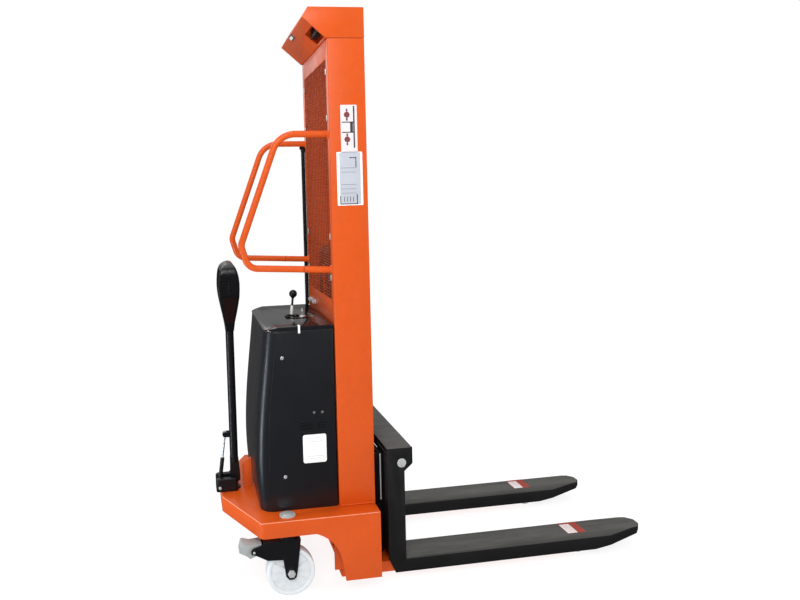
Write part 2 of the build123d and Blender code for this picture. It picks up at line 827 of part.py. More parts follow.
# pressure hose from the pump block to the cylinder port
hose_r = 7
hose_drop_x = cylinder_x - barrel_r - 12
hose_route = [
    (unit_x, unit_y + 50, block_z + 30),
    (unit_x, -10, block_z + 30),
    (hose_drop_x, 0, 400),
    (hose_drop_x, 0, port_z + 10),
]
with BuildPart() as pressure_hose:
    with BuildLine() as hose_path:
        FilletPolyline(*hose_route, radius=[40, 60])
    with BuildSketch(Plane(hose_path.line @ 0, z_dir=hose_path.line % 0)):
        Circle(hose_r)
    sweep()
save(pressure_hose.part, "pressure_hose")

# ---------------------------------------------------------------- controls on the cover
with BuildPart() as lift_lever:
    ball_z = 1041
    rise = ball_z - lever_pivot_z
    lean = 12
    lean_angle = degrees(atan2(lean, rise))
    with Locations(Location((lever_x, lever_y, lever_pivot_z), (0, lean_angle, 0))):
        Cylinder(4.5, hypot(rise, lean), align=(Align.CENTER, Align.CENTER, Align.MIN))
    # cross hub and pivot pin
    with BuildSketch(Plane.XZ.offset(-lever_y)):
        with Locations((lever_x, lever_pivot_z)):
            Circle(9)
    extrude(amount=12, both=True)
    with BuildSketch(Plane.XZ.offset(-lever_y)):
        with Locations((lever_x, lever_pivot_z)):
            Circle(lever_pin_r)
    extrude(amount=lever_ear + 3, both=True)
    with Locations((lever_x + lean, lever_y, ball_z)):
        Sphere(15.5)
save(lift_lever.part, "lift_lever")

key_x = mast_front_x - 222
key_y = -72
gauge_x = mast_front_x - 244
gauge_y = -52
with BuildPart() as instrument_panel:
    with BuildSketch(Plane.XY.offset(panel_top_z)):
        with Locations(((gauge_x + key_x) / 2, (gauge_y + key_y) / 2)):
            RectangleRounded(66, 58, 8)
    extrude(amount=3)
    with Locations((gauge_x, gauge_y, panel_top_z)):
        Cylinder(13, 9, align=(Align.CENTER, Align.CENTER, Align.MIN))
    with Locations((key_x, key_y, panel_top_z)):
        Cylinder(10, 8, align=(Align.CENTER, Align.CENTER, Align.MIN))
    chamfer(instrument_panel.faces().sort_by(Axis.Z)[-1].edges(), 1.5)
save(instrument_panel.part, "instrument_panel")

with BuildPart() as key:
    with Locations((key_x, key_y, panel_top_z + 8.1)):
        Box(3, 9, 10, align=(Align.CENTER, Align.CENTER, Align.MIN))
    with Locations((key_x, key_y, panel_top_z + 18)):
        Box(3, 22, 16, align=(Align.CENTER, Align.CENTER, Align.MIN))
    fillet(key.edges().filter_by(Axis.X).group_by(Axis.Z)[-1], 6)
save(key.part, "key")

with BuildPart() as limit_switch:
    with Locations((conduit_x, conduit_y, panel_top_z)):
        Cylinder(conduit_r, 1617 - panel_top_z, align=(Align.CENTER, Align.CENTER, Align.MIN))
    with Locations((mast_rear_x - 11, 261, 1640)):
        Box(22, 17, 48)
save(limit_switch.part, "limit_switch")

# ---------------------------------------------------------------- tiller
seat_half = 42
seat_low_z = deck_z + 0.5
seat_floor_z = seat_low_z + 6
seat_high_z = 334
seat_front_x = tiller_x + 11
slot_half = 20
pivot_pin_r = 8
spring_pin_r = 5
with BuildPart() as tiller_seat:
    with BuildSketch(Plane.XY.offset(seat_low_z)):
        with Locations(((rear_x + seat_front_x) / 2, 0)):
            RectangleRounded(seat_front_x - rear_x, 2 * seat_half, 14)
        with Locations((tiller_x, 0)):
            Circle(22)
    extrude(amount=seat_high_z - seat_low_z)
    chamfer(tiller_seat.faces().sort_by(Axis.Z)[-1].edges(), 2)
    # slot for the tube foot and the gas spring, open at the rear
    with Locations((tiller_x, 0, seat_floor_z)):
        Box(
            220,
            2 * slot_half,
            60,
            align=(Align.CENTER, Align.CENTER, Align.MIN),
            mode=Mode.SUBTRACT,
        )
    # vertical swivel pin through the deck, with its retaining washer underneath
    with Locations((tiller_x, 0, seat_low_z + 1)):
        Cylinder(swivel_pin_r, 26, align=(Align.CENTER, Align.CENTER, Align.MAX))
    with Locations((tiller_x, 0, deck_under_z - 1)):
        Cylinder(20, 6, align=(Align.CENTER, Align.CENTER, Align.MAX))
    for x, z, r in (
        (tiller_pivot_x, tiller_pivot_z, pivot_pin_r),
        (spring_foot_x, spring_foot_z, spring_pin_r),
    ):
        with BuildSketch(Plane.XZ):
            with Locations((x, z)):
                Circle(r)
        extrude(amount=seat_half + 5, both=True, mode=Mode.SUBTRACT)
save(tiller_seat.part, "tiller_seat")

with BuildPart() as tiller_pins:
    for x, z, r in (
        (tiller_pivot_x, tiller_pivot_z, pivot_pin_r),
        (spring_foot_x, spring_foot_z, spring_pin_r),
    ):
        with BuildSketch(Plane.XZ):
            with Locations((x, z)):
                Circle(r)
        extrude(amount=seat_half + 1.5, both=True)
save(tiller_pins.part, "tiller_pins")

foot_half = 13
foot_front_x = tiller_x + 21
foot_top_z = 408
ear_in = 8
ear_out = 12
tube_top_z = 960
with BuildPart() as tiller_tube:
    with Locations((tiller_x, 0, foot_top_z - 20)):
        Cylinder(
            tiller_tube_r,
            tube_top_z - foot_top_z + 20,
            align=(Align.CENTER, Align.CENTER, Align.MIN),
        )
    with Locations((tiller_x, 0, foot_top_z + 10)):
        Cylinder(
            tiller_tube_r - 2.5,
            tube_top_z - foot_top_z,
            align=(Align.CENTER, Align.CENTER, Align.MIN),
            mode=Mode.SUBTRACT,
        )
    # flared foot on the tilt pivot
    with BuildSketch(Plane.XZ):
        with BuildLine():
            Polyline(
                (tiller_x - tiller_tube_r, foot_top_z),
                (tiller_x + tiller_tube_r, foot_top_z),
                (foot_front_x, 345),
                (foot_front_x, 318),
                (tiller_pivot_x + 12, tiller_pivot_z - 14),
                (tiller_pivot_x - 4, tiller_pivot_z - 16),
                (tiller_x - tiller_tube_r - 2, tiller_pivot_z),
                close=True,
            )
        make_face()
        with Locations((tiller_pivot_x, tiller_pivot_z)):
            Circle(16)
            Circle(pivot_pin_r + 0.05, mode=Mode.SUBTRACT)
    extrude(amount=foot_half, both=True)
    # forked bracket and pin for the top of the gas spring
    for side in sides.values():
        with BuildSketch(Plane.XZ.offset(-side * (ear_in + ear_out) / 2)):
            with Locations((spring_eye_x, spring_eye_z)):
                Circle(10)
            with Locations(((spring_eye_x + tiller_x - 8) / 2, spring_eye_z)):
                Rectangle(tiller_x - 8 - spring_eye_x, 20)
        extrude(amount=(ear_out - ear_in) / 2, both=True)
    with BuildSketch(Plane.XZ):
        with Locations((spring_eye_x, spring_eye_z)):
            Circle(3.2)
    extrude(amount=ear_out + 2, both=True)
save(tiller_tube.part, "tiller_tube")

head_low_z = neck_z - 4
head_loop_half = 100
head_inner_half = 66
head_hub_z = 985
with BuildPart() as tiller_head:
    # spindle-shaped side profile
    with BuildSketch(Plane.XZ):
        with BuildLine():
            Spline(
                (tiller_x - 16, head_low_z),
                (tiller_x - 28, 985),
                (tiller_x - 39, 1060),
                (tiller_x - 37, 1120),
                (tiller_x - 20, 1164),
                (tiller_x + 12, head_top_z),
                (tiller_x + 33, 1140),
                (tiller_x + 39, 1082),
                (tiller_x + 30, 990),
                (tiller_x + 17, head_low_z),
            )
            Line((tiller_x + 17, head_low_z), (tiller_x - 16, head_low_z))
        make_face()
    extrude(amount=head_loop_half + 10, both=True)
    # closed hand loop seen from behind
    with BuildSketch(Plane.YZ.offset(tiller_x)):
        with BuildLine():
            Polyline(
                (-18, head_low_z - 5),
                (-22, 940),
                (-head_loop_half, 1050),
                (-head_loop_half, head_top_z + 5),
                (head_loop_half, head_top_z + 5),
                (head_loop_half, 1050),
                (22, 940),
                (18, head_low_z - 5),
                close=True,
            )
        loop_face = make_face()
        fillet(loop_face.vertices().group_by(Axis.Y)[-1], 48)
        with BuildLine():
            Polyline(
                (-30, 1012),
                (-head_inner_half, 1062),
                (-head_inner_half, 1142),
                (head_inner_half, 1142),
                (head_inner_half, 1062),
                (30, 1012),
                close=True,
            )
        make_face(mode=Mode.SUBTRACT)
    extrude(amount=60, both=True, mode=Mode.INTERSECT)
    # socket over the tube
    with Locations((tiller_x, 0, head_low_z - 1)):
        Cylinder(
            tiller_tube_r,
            tube_top_z - head_low_z + 1,
            align=(Align.CENTER, Align.CENTER, Align.MIN),
            mode=Mode.SUBTRACT,
        )
    # pocket and pin holes for the finger lever
    with Locations((tiller_x, 0, head_hub_z + 25)):
        Box(120, 22, 66, mode=Mode.SUBTRACT)
    with BuildSketch(Plane.XZ):
        with Locations((tiller_x, head_hub_z + 8)):
            Circle(4)
    extrude(amount=26, both=True)
save(tiller_head.part, "tiller_head")

lever_hub_z = head_hub_z + 8
with BuildPart() as finger_lever:
    with BuildSketch(Plane.XZ):
        with Locations((tiller_x, lever_hub_z)):
            Circle(10)
            Circle(4.06, mode=Mode.SUBTRACT)
    extrude(amount=9, both=True)
    with Locations((tiller_x, 0, lever_hub_z + 8)):
        Box(10, 18, 90, align=(Align.CENTER, Align.CENTER, Align.MIN))
    with Locations((tiller_x, 0, lever_hub_z + 96)):
        Box(14, 74, 20)
    fillet(finger_lever.edges().filter_by(Axis.Y).group_by(Axis.Z)[-1], 5)
save(finger_lever.part, "finger_lever")

# gas spring behind the tube: lower eye on the seat, upper eye on the tube bracket
spring_dx = spring_eye_x - spring_foot_x
spring_dz = spring_eye_z - spring_foot_z
spring_long = hypot(spring_dx, spring_dz)
spring_lean = degrees(atan2(spring_dx, spring_dz))
spring_line = Plane(
    origin=(spring_foot_x, 0, spring_foot_z),
    x_dir=(cos(radians(spring_lean)), 0, -sin(radians(spring_lean))),
    z_dir=(sin(radians(spring_lean)), 0, cos(radians(spring_lean))),
)
spring_body_r = 8
spring_body_long = 106
with BuildPart() as gas_spring_body:
    with BuildSketch(spring_line.offset(7)):
        Circle(spring_body_r)
    extrude(amount=spring_body_long - 7)
    with BuildSketch(spring_line.offset(16)):
        Circle(6.5)
    extrude(amount=spring_body_long - 22, mode=Mode.SUBTRACT)
    with BuildSketch(spring_line.offset(spring_body_long - 8)):
        Circle(4.05)
    extrude(amount=12, mode=Mode.SUBTRACT)
    with BuildSketch(Plane.XZ):
        with Locations((spring_foot_x, spring_foot_z)):
            Circle(9)
    extrude(amount=8, both=True)
    with BuildSketch(Plane.XZ):
        with Locations((spring_foot_x, spring_foot_z)):
            Circle(spring_pin_r + 0.06)
    extrude(amount=12, both=True, mode=Mode.SUBTRACT)
save(gas_spring_body.part, "gas_spring_body")

with BuildPart() as gas_spring_rod:
    with BuildSketch(spring_line.offset(74)):
        Circle(4)
    extrude(amount=spring_long - 10 - 74)
    with BuildSketch(spring_line.offset(74)):
        Circle(6.4)
    extrude(amount=10)
    with BuildSketch(Plane.XZ):
        with Locations((spring_eye_x, spring_eye_z)):
            Circle(11)
            Circle(8.2, mode=Mode.SUBTRACT)
    extrude(amount=6, both=True)
save(gas_spring_rod.part, "gas_spring_rod")

# ---------------------------------------------------------------- rear casters
caster_plate_in = 28
caster_plate_out = 33
caster_head_low = 198
caster_head_high = 208
caster_axle_x = caster_x + caster_trail
caster_axle_z = caster_wheel_r
caster_axle_r = 8
pedal_pin_x = mast_front_x - 459
pedal_pin_z = 178
leg_outline = [
    (mast_front_x - 470, 180),
    (mast_front_x - 462, 190),
    (mast_front_x - 428, 200),
    (mast_front_x - 424, caster_head_high),
    (mast_front_x - 292, caster_head_high),
    (mast_front_x - 297, 169),
    (mast_front_x - 306, 97),
    (caster_axle_x + 18, 72),
    (caster_axle_x + 8, 64),
    (caster_axle_x - 8, 64),
    (caster_axle_x - 19, 76),
    (mast_front_x - 357, 139),
    (mast_front_x - 412, 142),
    (mast_front_x - 455, 166),
    (mast_front_x - 468, 170),
]
pedal_outline = [
    (mast_front_x - 511, 177),
    (mast_front_x - 503, 208),
    (mast_front_x - 494, 208),
    (mast_front_x - 474, 201),
    (mast_front_x - 432, 204),
    (mast_front_x - 432, 178),
    (mast_front_x - 452, 160),
    (mast_front_x - 472, 152),
    (mast_front_x - 488, 165),
]
pedal_hollow = [
    (mast_front_x - 506, 174),
    (mast_front_x - 500, 204),
    (mast_front_x - 495, 204),
    (mast_front_x - 474, 197),
    (mast_front_x - 428, 200),
    (mast_front_x - 428, 140),
    (mast_front_x - 500, 140),
]
for name, side in sides.items():
    y = side * caster_y
    with BuildPart() as caster_fork:
        for face in (1, -1):
            low, high = sorted((y + face * caster_plate_in, y + face * caster_plate_out))
            add(wall(leg_outline, low, high))
        head_long = 132
        head_mid_x = mast_front_x - 292 - head_long / 2
        with Locations((head_mid_x, y, (caster_head_low + caster_head_high) / 2)):
            Box(head_long, 2 * caster_plate_in + 1, caster_head_high - caster_head_low)
        with Locations((caster_x, y, caster_head_high - 1)):
            Cylinder(
                34,
                skirt_z - 0.5 - caster_head_high + 1,
                align=(Align.CENTER, Align.CENTER, Align.MIN),
            )
        with Locations((caster_x, y, skirt_z)):
            Hole(kingpin_r + 0.06, depth=60)
        with BuildSketch(Plane.XZ.offset(-y)):
            with Locations((caster_axle_x, caster_axle_z)):
                Circle(caster_axle_r)
        extrude(amount=caster_plate_out + 1, both=True, mode=Mode.SUBTRACT)
        # pedal pin between the two legs
        with BuildSketch(Plane.XZ.offset(-y)):
            with Locations((pedal_pin_x, pedal_pin_z)):
                Circle(5)
        extrude(amount=caster_plate_out + 3, both=True)
    save(caster_fork.part, f"caster_fork_{name}")

    with BuildPart() as caster_wheel:
        with BuildSketch(Plane.XZ.offset(-y)):
            with Locations((caster_axle_x, caster_axle_z)):
                Circle(caster_wheel_r)
        extrude(amount=caster_wheel_wide / 2, both=True)
        rims = caster_wheel.edges().filter_by(GeomType.CIRCLE)
        chamfer(rims, 3)
        for face in (1, -1):
            recess_y = y + face * (caster_wheel_wide / 2 - 5)
            with BuildSketch(Plane.XZ.offset(-recess_y)):
                with Locations((caster_axle_x, caster_axle_z)):
                    Circle(72)
                    Circle(27, mode=Mode.SUBTRACT)
                    with PolarLocations(50, 12):
                        Rectangle(60, 4, mode=Mode.SUBTRACT)
            extrude(amount=6, both=True, mode=Mode.SUBTRACT)
        with BuildSketch(Plane.XZ.offset(-y)):
            with Locations((caster_axle_x, caster_axle_z)):
                Circle(caster_axle_r + 0.06)
        extrude(amount=caster_wheel_wide, both=True, mode=Mode.SUBTRACT)
    save(caster_wheel.part, f"caster_wheel_{name}")

    with BuildPart() as caster_axle:
        with BuildSketch(Plane.XZ.offset(-y)):
            with Locations((caster_axle_x, caster_axle_z)):
                Circle(caster_axle_r)
        extrude(amount=caster_plate_out + 10, both=True)
        for face in (1, -1):
            nut_y = y + face * (caster_plate_out + 4)
            with BuildSketch(Plane.XZ.offset(-nut_y)):
                with Locations((caster_axle_x, caster_axle_z)):
                    RegularPolygon(14, 6)
            extrude(amount=4, both=True)
    save(caster_axle.part, f"caster_axle_{name}")

    with BuildPart() as brake_pedal:
        add(wall(pedal_outline, y - 26, y + 26))
        add(wall(pedal_hollow, y - 22, y + 22), mode=Mode.SUBTRACT)
        with BuildSketch(Plane.XZ.offset(-y)):
            with Locations((pedal_pin_x, pedal_pin_z)):
                Circle(5.06)
        extrude(amount=30, both=True, mode=Mode.SUBTRACT)
    save(brake_pedal.part, f"brake_pedal_{name}")

with BuildPart() as caster_kingpins:
    for side in sides.values():
        y = side * caster_y
        with Locations((caster_x, y, caster_head_low - 11)):
            Cylinder(
                kingpin_r,
                deck_z + 4 - caster_head_low + 11,
                align=(Align.CENTER, Align.CENTER, Align.MIN),
            )
            Cylinder(16, 10, align=(Align.CENTER, Align.CENTER, Align.MIN))
        # low round cap on the deck
        with Locations((caster_x, y, deck_z)):
            Cylinder(29, 5, align=(Align.CENTER, Align.CENTER, Align.MIN))
            Cylinder(17, 7.5, align=(Align.CENTER, Align.CENTER, Align.MIN))
save(caster_kingpins.part, "caster_kingpins")
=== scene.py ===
import bpy
import bmesh
from math import sin, cos, pi, radians
from mathutils import Vector, Matrix


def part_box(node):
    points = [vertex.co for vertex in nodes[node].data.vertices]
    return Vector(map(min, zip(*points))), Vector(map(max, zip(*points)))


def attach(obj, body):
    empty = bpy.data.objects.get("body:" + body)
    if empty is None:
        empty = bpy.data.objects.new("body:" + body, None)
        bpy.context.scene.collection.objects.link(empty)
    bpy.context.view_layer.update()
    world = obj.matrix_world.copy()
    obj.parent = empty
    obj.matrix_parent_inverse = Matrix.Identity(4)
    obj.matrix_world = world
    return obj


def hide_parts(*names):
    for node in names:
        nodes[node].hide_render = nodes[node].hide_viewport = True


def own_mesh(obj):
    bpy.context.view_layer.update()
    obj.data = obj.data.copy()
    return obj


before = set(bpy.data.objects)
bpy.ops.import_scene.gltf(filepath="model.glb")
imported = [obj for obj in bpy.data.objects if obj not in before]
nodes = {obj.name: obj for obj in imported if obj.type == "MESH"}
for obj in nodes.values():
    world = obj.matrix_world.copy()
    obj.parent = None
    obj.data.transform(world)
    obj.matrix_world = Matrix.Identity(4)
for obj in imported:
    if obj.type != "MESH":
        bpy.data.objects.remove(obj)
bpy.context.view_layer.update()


# ------------------------------------------------------------------ places
def low(node):
    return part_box(node)[0]


def high(node):
    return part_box(node)[1]


def middle(node):
    a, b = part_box(node)
    return (Vector(a) + Vector(b)) / 2


MF = high("mast_channel_left")[0]  # front plane of the mast
MR = low("mast_channel_left")[0]  # rear plane of the mast
MAST_SIDE = -low("mast_channel_right")[1]
DECK = low("battery")[2]  # top of the deck plate
COVER_SIDE = -low("power_cover")[1]
COVER_FRONT = high("power_cover")[0]  # the end against the mast
PANEL_TOP = high("cover_top_panel")[2]
FORK_TOP = low("load_wheel_left")[2] + 0.082  # upper face of the lowered forks
RAIL_Y = (low("grab_rail_left")[1] + high("grab_rail_left")[1]) / 2
RAIL_R = (high("grab_rail_left")[1] - low("grab_rail_left")[1]) / 2
SIDES = (("left", 1), ("right", -1))
ACROSS, UPWARD = (1, 0, 0), (0, 0, 1)  # of a plate that faces the operator's right

# ------------------------------------------------------------------ camera
yaw, pitch, roll = 0.164, -0.061, -0.030  # fitted to the edges seen in the photograph
forward = Vector((sin(yaw) * cos(pitch), cos(yaw) * cos(pitch), sin(pitch)))
right = Vector((cos(yaw), -sin(yaw), 0))
up = right.cross(forward)
right_r = right * cos(roll) + up * sin(roll)
up_r = up * cos(roll) - right * sin(roll)
camera = bpy.data.objects.new("camera", bpy.data.cameras.new("camera"))
bpy.context.collection.objects.link(camera)
rotation = Matrix((right_r, up_r, -forward)).transposed().to_4x4()
camera_at = (MF - 0.659, -2.831, 1.422)
camera.matrix_world = Matrix.Translation(camera_at) @ rotation
camera.data.lens = 32.94
camera.data.sensor_width = 36
camera.data.shift_x = 0.119
camera.data.shift_y = -0.075
camera.data.clip_start = 0.05
bpy.context.scene.camera = camera


# ------------------------------------------------------------------ materials
def srgb(r, g, b):
    def one(c):
        c = c / 255
        return c / 12.92 if c <= 0.04045 else ((c + 0.055) / 1.055) ** 2.4

    return (one(r), one(g), one(b))


class Graph:
    """A node material, with short calls for the nodes that are used here."""

    def __init__(self, name, metallic=0.0, coat=0.0, coat_rough=0.1, ior=1.5, spec=0.5):
        self.mat = bpy.data.materials.new(name)
        self.mat.use_nodes = True
        self.tree = self.mat.node_tree
        self.shader = self.tree.nodes["Principled BSDF"]
        self.shader.inputs["Metallic"].default_value = metallic
        self.shader.inputs["Coat Weight"].default_value = coat
        self.shader.inputs["Coat Roughness"].default_value = coat_rough
        self.shader.inputs["IOR"].default_value = ior
        self.shader.inputs["Specular IOR Level"].default_value = spec
        self.coords = self.tree.nodes.new("ShaderNodeTexCoord")

    def link(self, a, b):
        self.tree.links.new(a, b)

    def stretch(self, scale):
        """Object coordinates scaled by axis, for grain that runs one way."""
        node = self.tree.nodes.new("ShaderNodeMapping")
        node.inputs["Scale"].default_value = scale
        self.link(self.coords.outputs["Object"], node.inputs["Vector"])
        return node.outputs["Vector"]

    def noise(self, scale, detail=4.0, rough=0.55, vector=None):
        node = self.tree.nodes.new("ShaderNodeTexNoise")
        node.inputs["Scale"].default_value = scale
        node.inputs["Detail"].default_value = detail
        node.inputs["Roughness"].default_value = rough
        self.link(vector or self.coords.outputs["Object"], node.inputs["Vector"])
        return node.outputs["Fac"]

    def ramp(self, fac, stops):
        node = self.tree.nodes.new("ShaderNodeValToRGB")
        points = node.color_ramp.elements
        while len(points) < len(stops):
            points.new(0.5)
        for point, (place, colour) in zip(points, stops):
            point.position = place
            point.color = (*colour, 1)
        self.link(fac, node.inputs["Fac"])
        return node.outputs["Color"]

    def span(self, fac, a, b, lo=0.3, hi=0.7):
        """Takes fac from the range lo..hi to the range a..b."""
        node = self.tree.nodes.new("ShaderNodeMapRange")
        node.inputs["From Min"].default_value = lo
        node.inputs["From Max"].default_value = hi
        node.inputs["To Min"].default_value = a
        node.inputs["To Max"].default_value = b
        self.link(fac, node.inputs["Value"])
        return node.outputs["Result"]

    def mix(self, fac, a, b, kind="MIX"):
        node = self.tree.nodes.new("ShaderNodeMix")
        node.data_type = "RGBA"
        node.blend_type = kind
        for key, value in ((0, fac), (6, a), (7, b)):
            if isinstance(value, (int, float)):
                node.inputs[key].default_value = value
            elif isinstance(value, tuple):
                node.inputs[key].default_value = (*value, 1)
            else:
                self.link(value, node.inputs[key])
        return node.outputs[2]

    def bump(self, height, strength, distance, after=None):
        node = self.tree.nodes.new("ShaderNodeBump")
        node.inputs["Strength"].default_value = strength
        node.inputs["Distance"].default_value = distance
        self.link(height, node.inputs["Height"])
        if after is not None:
            self.link(after, node.inputs["Normal"])
        return node.outputs["Normal"]

    def done(self, colour, rough, normal=None):
        self.link(colour, self.shader.inputs["Base Color"])
        self.link(rough, self.shader.inputs["Roughness"])
        if normal is not None:
            self.link(normal, self.shader.inputs["Normal"])
        return self.mat


def shade(colour, k):
    """The colour k times as bright, kept inside 0..1."""
    return tuple(min(1.0, c * k) for c in colour)


def enamel(name, colour, rough=(0.28, 0.42), coat=0.3, peel=0.12, vary=0.10, dust=None, spec=0.3):
    """Sprayed enamel: faint cloudiness, orange peel, fine dust and rubbed roughness."""
    g = Graph(name, coat=coat, coat_rough=0.12, spec=spec)
    cloud = g.noise(3.2, 5)
    fine = g.noise(46, 4, 0.6)
    base = g.ramp(cloud, [(0.32, shade(colour, 1 - vary)), (0.68, shade(colour, 1 + vary * 0.7))])
    specks = g.ramp(fine, [(0.35, (0.90, 0.90, 0.90)), (0.7, (1.0, 1.0, 1.0))])
    tone = g.mix(0.55, base, specks, "MULTIPLY")
    if dust:
        amount = g.span(g.noise(9, 6, 0.65), 0.0, dust[1], 0.45, 0.85)
        tone = g.mix(amount, tone, dust[0])
    skin = g.bump(g.noise(420, 2), peel, 0.0004)
    skin = g.bump(g.noise(24, 3), 0.10, 0.0008, skin)
    return g.done(tone, g.span(g.noise(18, 5), *rough), skin)


def black_with_dust_and_sheen(name, colour, top):
    """Black enamel of the forks: the faces that look up turn grey in streaks, partly dust and partly painted
    sheen of grazing light.
    """
    g = Graph(name, spec=0.4)
    tone = g.ramp(g.noise(5, 5), [(0.32, shade(colour, 0.8)), (0.68, shade(colour, 1.25))])
    split = g.tree.nodes.new("ShaderNodeSeparateXYZ")
    face = g.tree.nodes.new("ShaderNodeNewGeometry")
    g.link(face.outputs["Normal"], split.inputs["Vector"])
    upward = g.span(split.outputs["Z"], 0.0, 1.0, 0.75, 0.98)
    streaks = g.span(g.noise(30, 6, 0.65, g.stretch((0.25, 1.6, 1))), 0.55, 1.0, 0.3, 0.7)
    amount = g.tree.nodes.new("ShaderNodeMath")
    amount.operation = "MULTIPLY"
    g.link(upward, amount.inputs[0])
    g.link(streaks, amount.inputs[1])
    # painted sheen mixed with dust: up-facing faces blend towards the grey top colour
    tone = g.mix(amount.outputs[0], tone, top)
    return g.done(tone, g.span(g.noise(18, 5), 0.40, 0.55), g.bump(g.noise(300, 3), 0.15, 0.0004))


def moulded(name, colour, rough=(0.42, 0.58), grain=0.25, vary=0.08, scale=900, coat=0.0, spec=0.4):
    """Moulded plastic, rubber or print: slight colour change and a fine surface grain."""
    g = Graph(name, coat=coat, coat_rough=0.15, ior=1.46, spec=spec)
    tone = g.ramp(g.noise(14, 5), [(0.3, shade(colour, 1 - vary)), (0.7, shade(colour, 1 + vary))])
    return g.done(tone, g.span(g.noise(60, 4), *rough), g.bump(g.noise(scale, 3), grain, 0.0003))


def steel(name, colour, rough=(0.28, 0.42), stretch=(1, 1, 30), grain=0.12, spots=0.0, metallic=1.0):
    """Bare or plated metal: brushed lines, and dark stains where spots is above zero."""
    g = Graph(name, metallic=metallic)
    lines = g.noise(90, 4, 0.6, g.stretch(stretch))
    tone = g.ramp(lines, [(0.3, shade(colour, 0.86)), (0.7, shade(colour, 1.08))])
    if spots:
        stain = g.span(g.noise(38, 6, 0.7), 0.0, spots, 0.5, 0.8)
        tone = g.mix(stain, tone, shade(colour, 0.35))
    return g.done(tone, g.span(g.noise(35, 5), *rough), g.bump(lines, grain, 0.0002))


ORANGE = srgb(216, 84, 17)
BLACK = srgb(19, 19, 22)
M = {
    "orange": enamel("orange_enamel", ORANGE, (0.30, 0.46), 0.06, 0.10, 0.05),
    # painted shade: a darkened copy of the orange for the guard wires, which sit in the shade of the mast
    "orange_painted_shade": enamel("orange_enamel_painted_shade", shade(ORANGE, 0.42), (0.42, 0.58), 0.0, 0.10, 0.12),
    # painted shade for the dark gap under the hood; the rail joint lines use it too
    "shadow": enamel("orange_seam_shade", srgb(92, 26, 12), (0.5, 0.6), 0.0, 0.1, 0.1),
    "black": enamel("black_enamel", BLACK, (0.30, 0.44), 0.05, 0.14, 0.15),
    # the grey on the fork and beam tops is partly dust, partly painted sheen
    "fork": black_with_dust_and_sheen("black_fork_enamel", srgb(20, 20, 22), srgb(84, 83, 79)),
    "cover": enamel("black_cover_powder", srgb(24, 25, 29), (0.28, 0.36), 0.0, 0.2, 0.10, spec=0.4),
    "panel": enamel("black_panel_gloss", srgb(24, 24, 27), (0.10, 0.16), 0.05, 0.05, 0.10, spec=0.5),
    "plastic": moulded("black_moulding", srgb(18, 18, 20), (0.34, 0.5)),
    "gloss": moulded("black_gloss_moulding", srgb(11, 11, 14), (0.24, 0.34), 0.03, 0.05, 300, 0.15, 0.3),
    "grey": moulded("grey_case", srgb(92, 94, 98)),
    "nylon": moulded("white_nylon", srgb(222, 226, 229), (0.28, 0.42), 0.10, 0.03, 220),
    "rubber": moulded("hose_rubber", srgb(17, 17, 18), (0.5, 0.65), 0.3, 0.1, 500),
    "zinc": steel("zinc_plate", srgb(206, 208, 207), (0.26, 0.42), (1, 1, 1), 0.10, 0.12, 0.35),
    "pedal": enamel("grey_pedal_coat", srgb(168, 171, 170), (0.42, 0.6), 0.0, 0.5, 0.10,
                    (srgb(120, 122, 122), 0.4)),
    "chrome": steel("hard_chrome", srgb(222, 224, 228), (0.08, 0.16), (1, 1, 20), 0.02, 0.0, 0.75),
    "chain": steel("oiled_chain", srgb(112, 106, 98), (0.30, 0.48), (1, 1, 1), 0.2, 0.5),
    "alloy": steel("cast_alloy", srgb(176, 178, 180), (0.40, 0.55), (1, 1, 1), 0.3),
    "white": moulded("white_print", srgb(243, 244, 243), (0.30, 0.40), 0.04, 0.02, spec=0.2),
    "silver": moulded("silver_print", srgb(186, 190, 200), (0.30, 0.40), 0.04, 0.05, spec=0.3),
    "paper": moulded("off_white_print", srgb(226, 219, 221), (0.30, 0.40), 0.04, 0.03, spec=0.2),
    # painted highlight: pale orange for the deck's edges
    "pale": enamel("orange_edge_highlight", srgb(240, 150, 116), (0.34, 0.46), 0.0, 0.05, 0.05),
    "rose": moulded("pale_trim", srgb(214, 176, 166), (0.30, 0.40), 0.05, 0.05),
    "ink": moulded("dark_print", srgb(62, 62, 68), (0.35, 0.45), 0.05, 0.05),
    "red": moulded("red_print", srgb(156, 50, 36), (0.32, 0.42), 0.05, 0.06),
    "wine": moulded("dull_red_print", srgb(128, 62, 66), (0.35, 0.45), 0.05, 0.06),
    "lens": moulded("smoked_lens", srgb(96, 92, 88), (0.08, 0.14), 0.02, 0.05, 300, 0.8),
}


def paint(key, *names):
    for name in names:
        mesh = nodes[name].data
        mesh.materials.clear()
        mesh.materials.append(M[key])


# ------------------------------------------------------------------ making pieces
def piece(name, bm, key, body, smooth=40, bevel=0.0, steps=2):
    """A finished mesh object at its place in the row frame, riding on a body."""
    mesh = bpy.data.meshes.new(name)
    bmesh.ops.recalc_face_normals(bm, faces=bm.faces)
    bm.to_mesh(mesh)
    bm.free()
    obj = bpy.data.objects.new(name, mesh)
    bpy.context.collection.objects.link(obj)
    mesh.materials.append(M[key])
    if bevel:
        soften(obj, bevel, steps)
    smooth_by_angle(obj, smooth)
    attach(obj, body)
    return obj


def smooth_by_angle(obj, angle):
    """Smooth shading, with a sharp edge wherever the faces turn more than angle."""
    mesh = obj.data
    bm = bmesh.new()
    bm.from_mesh(mesh)
    for face in bm.faces:
        face.smooth = True
    for edge in bm.edges:
        if len(edge.link_faces) == 2:
            edge.smooth = edge.calc_face_angle(0) < radians(angle)
    bm.to_mesh(mesh)
    bm.free()


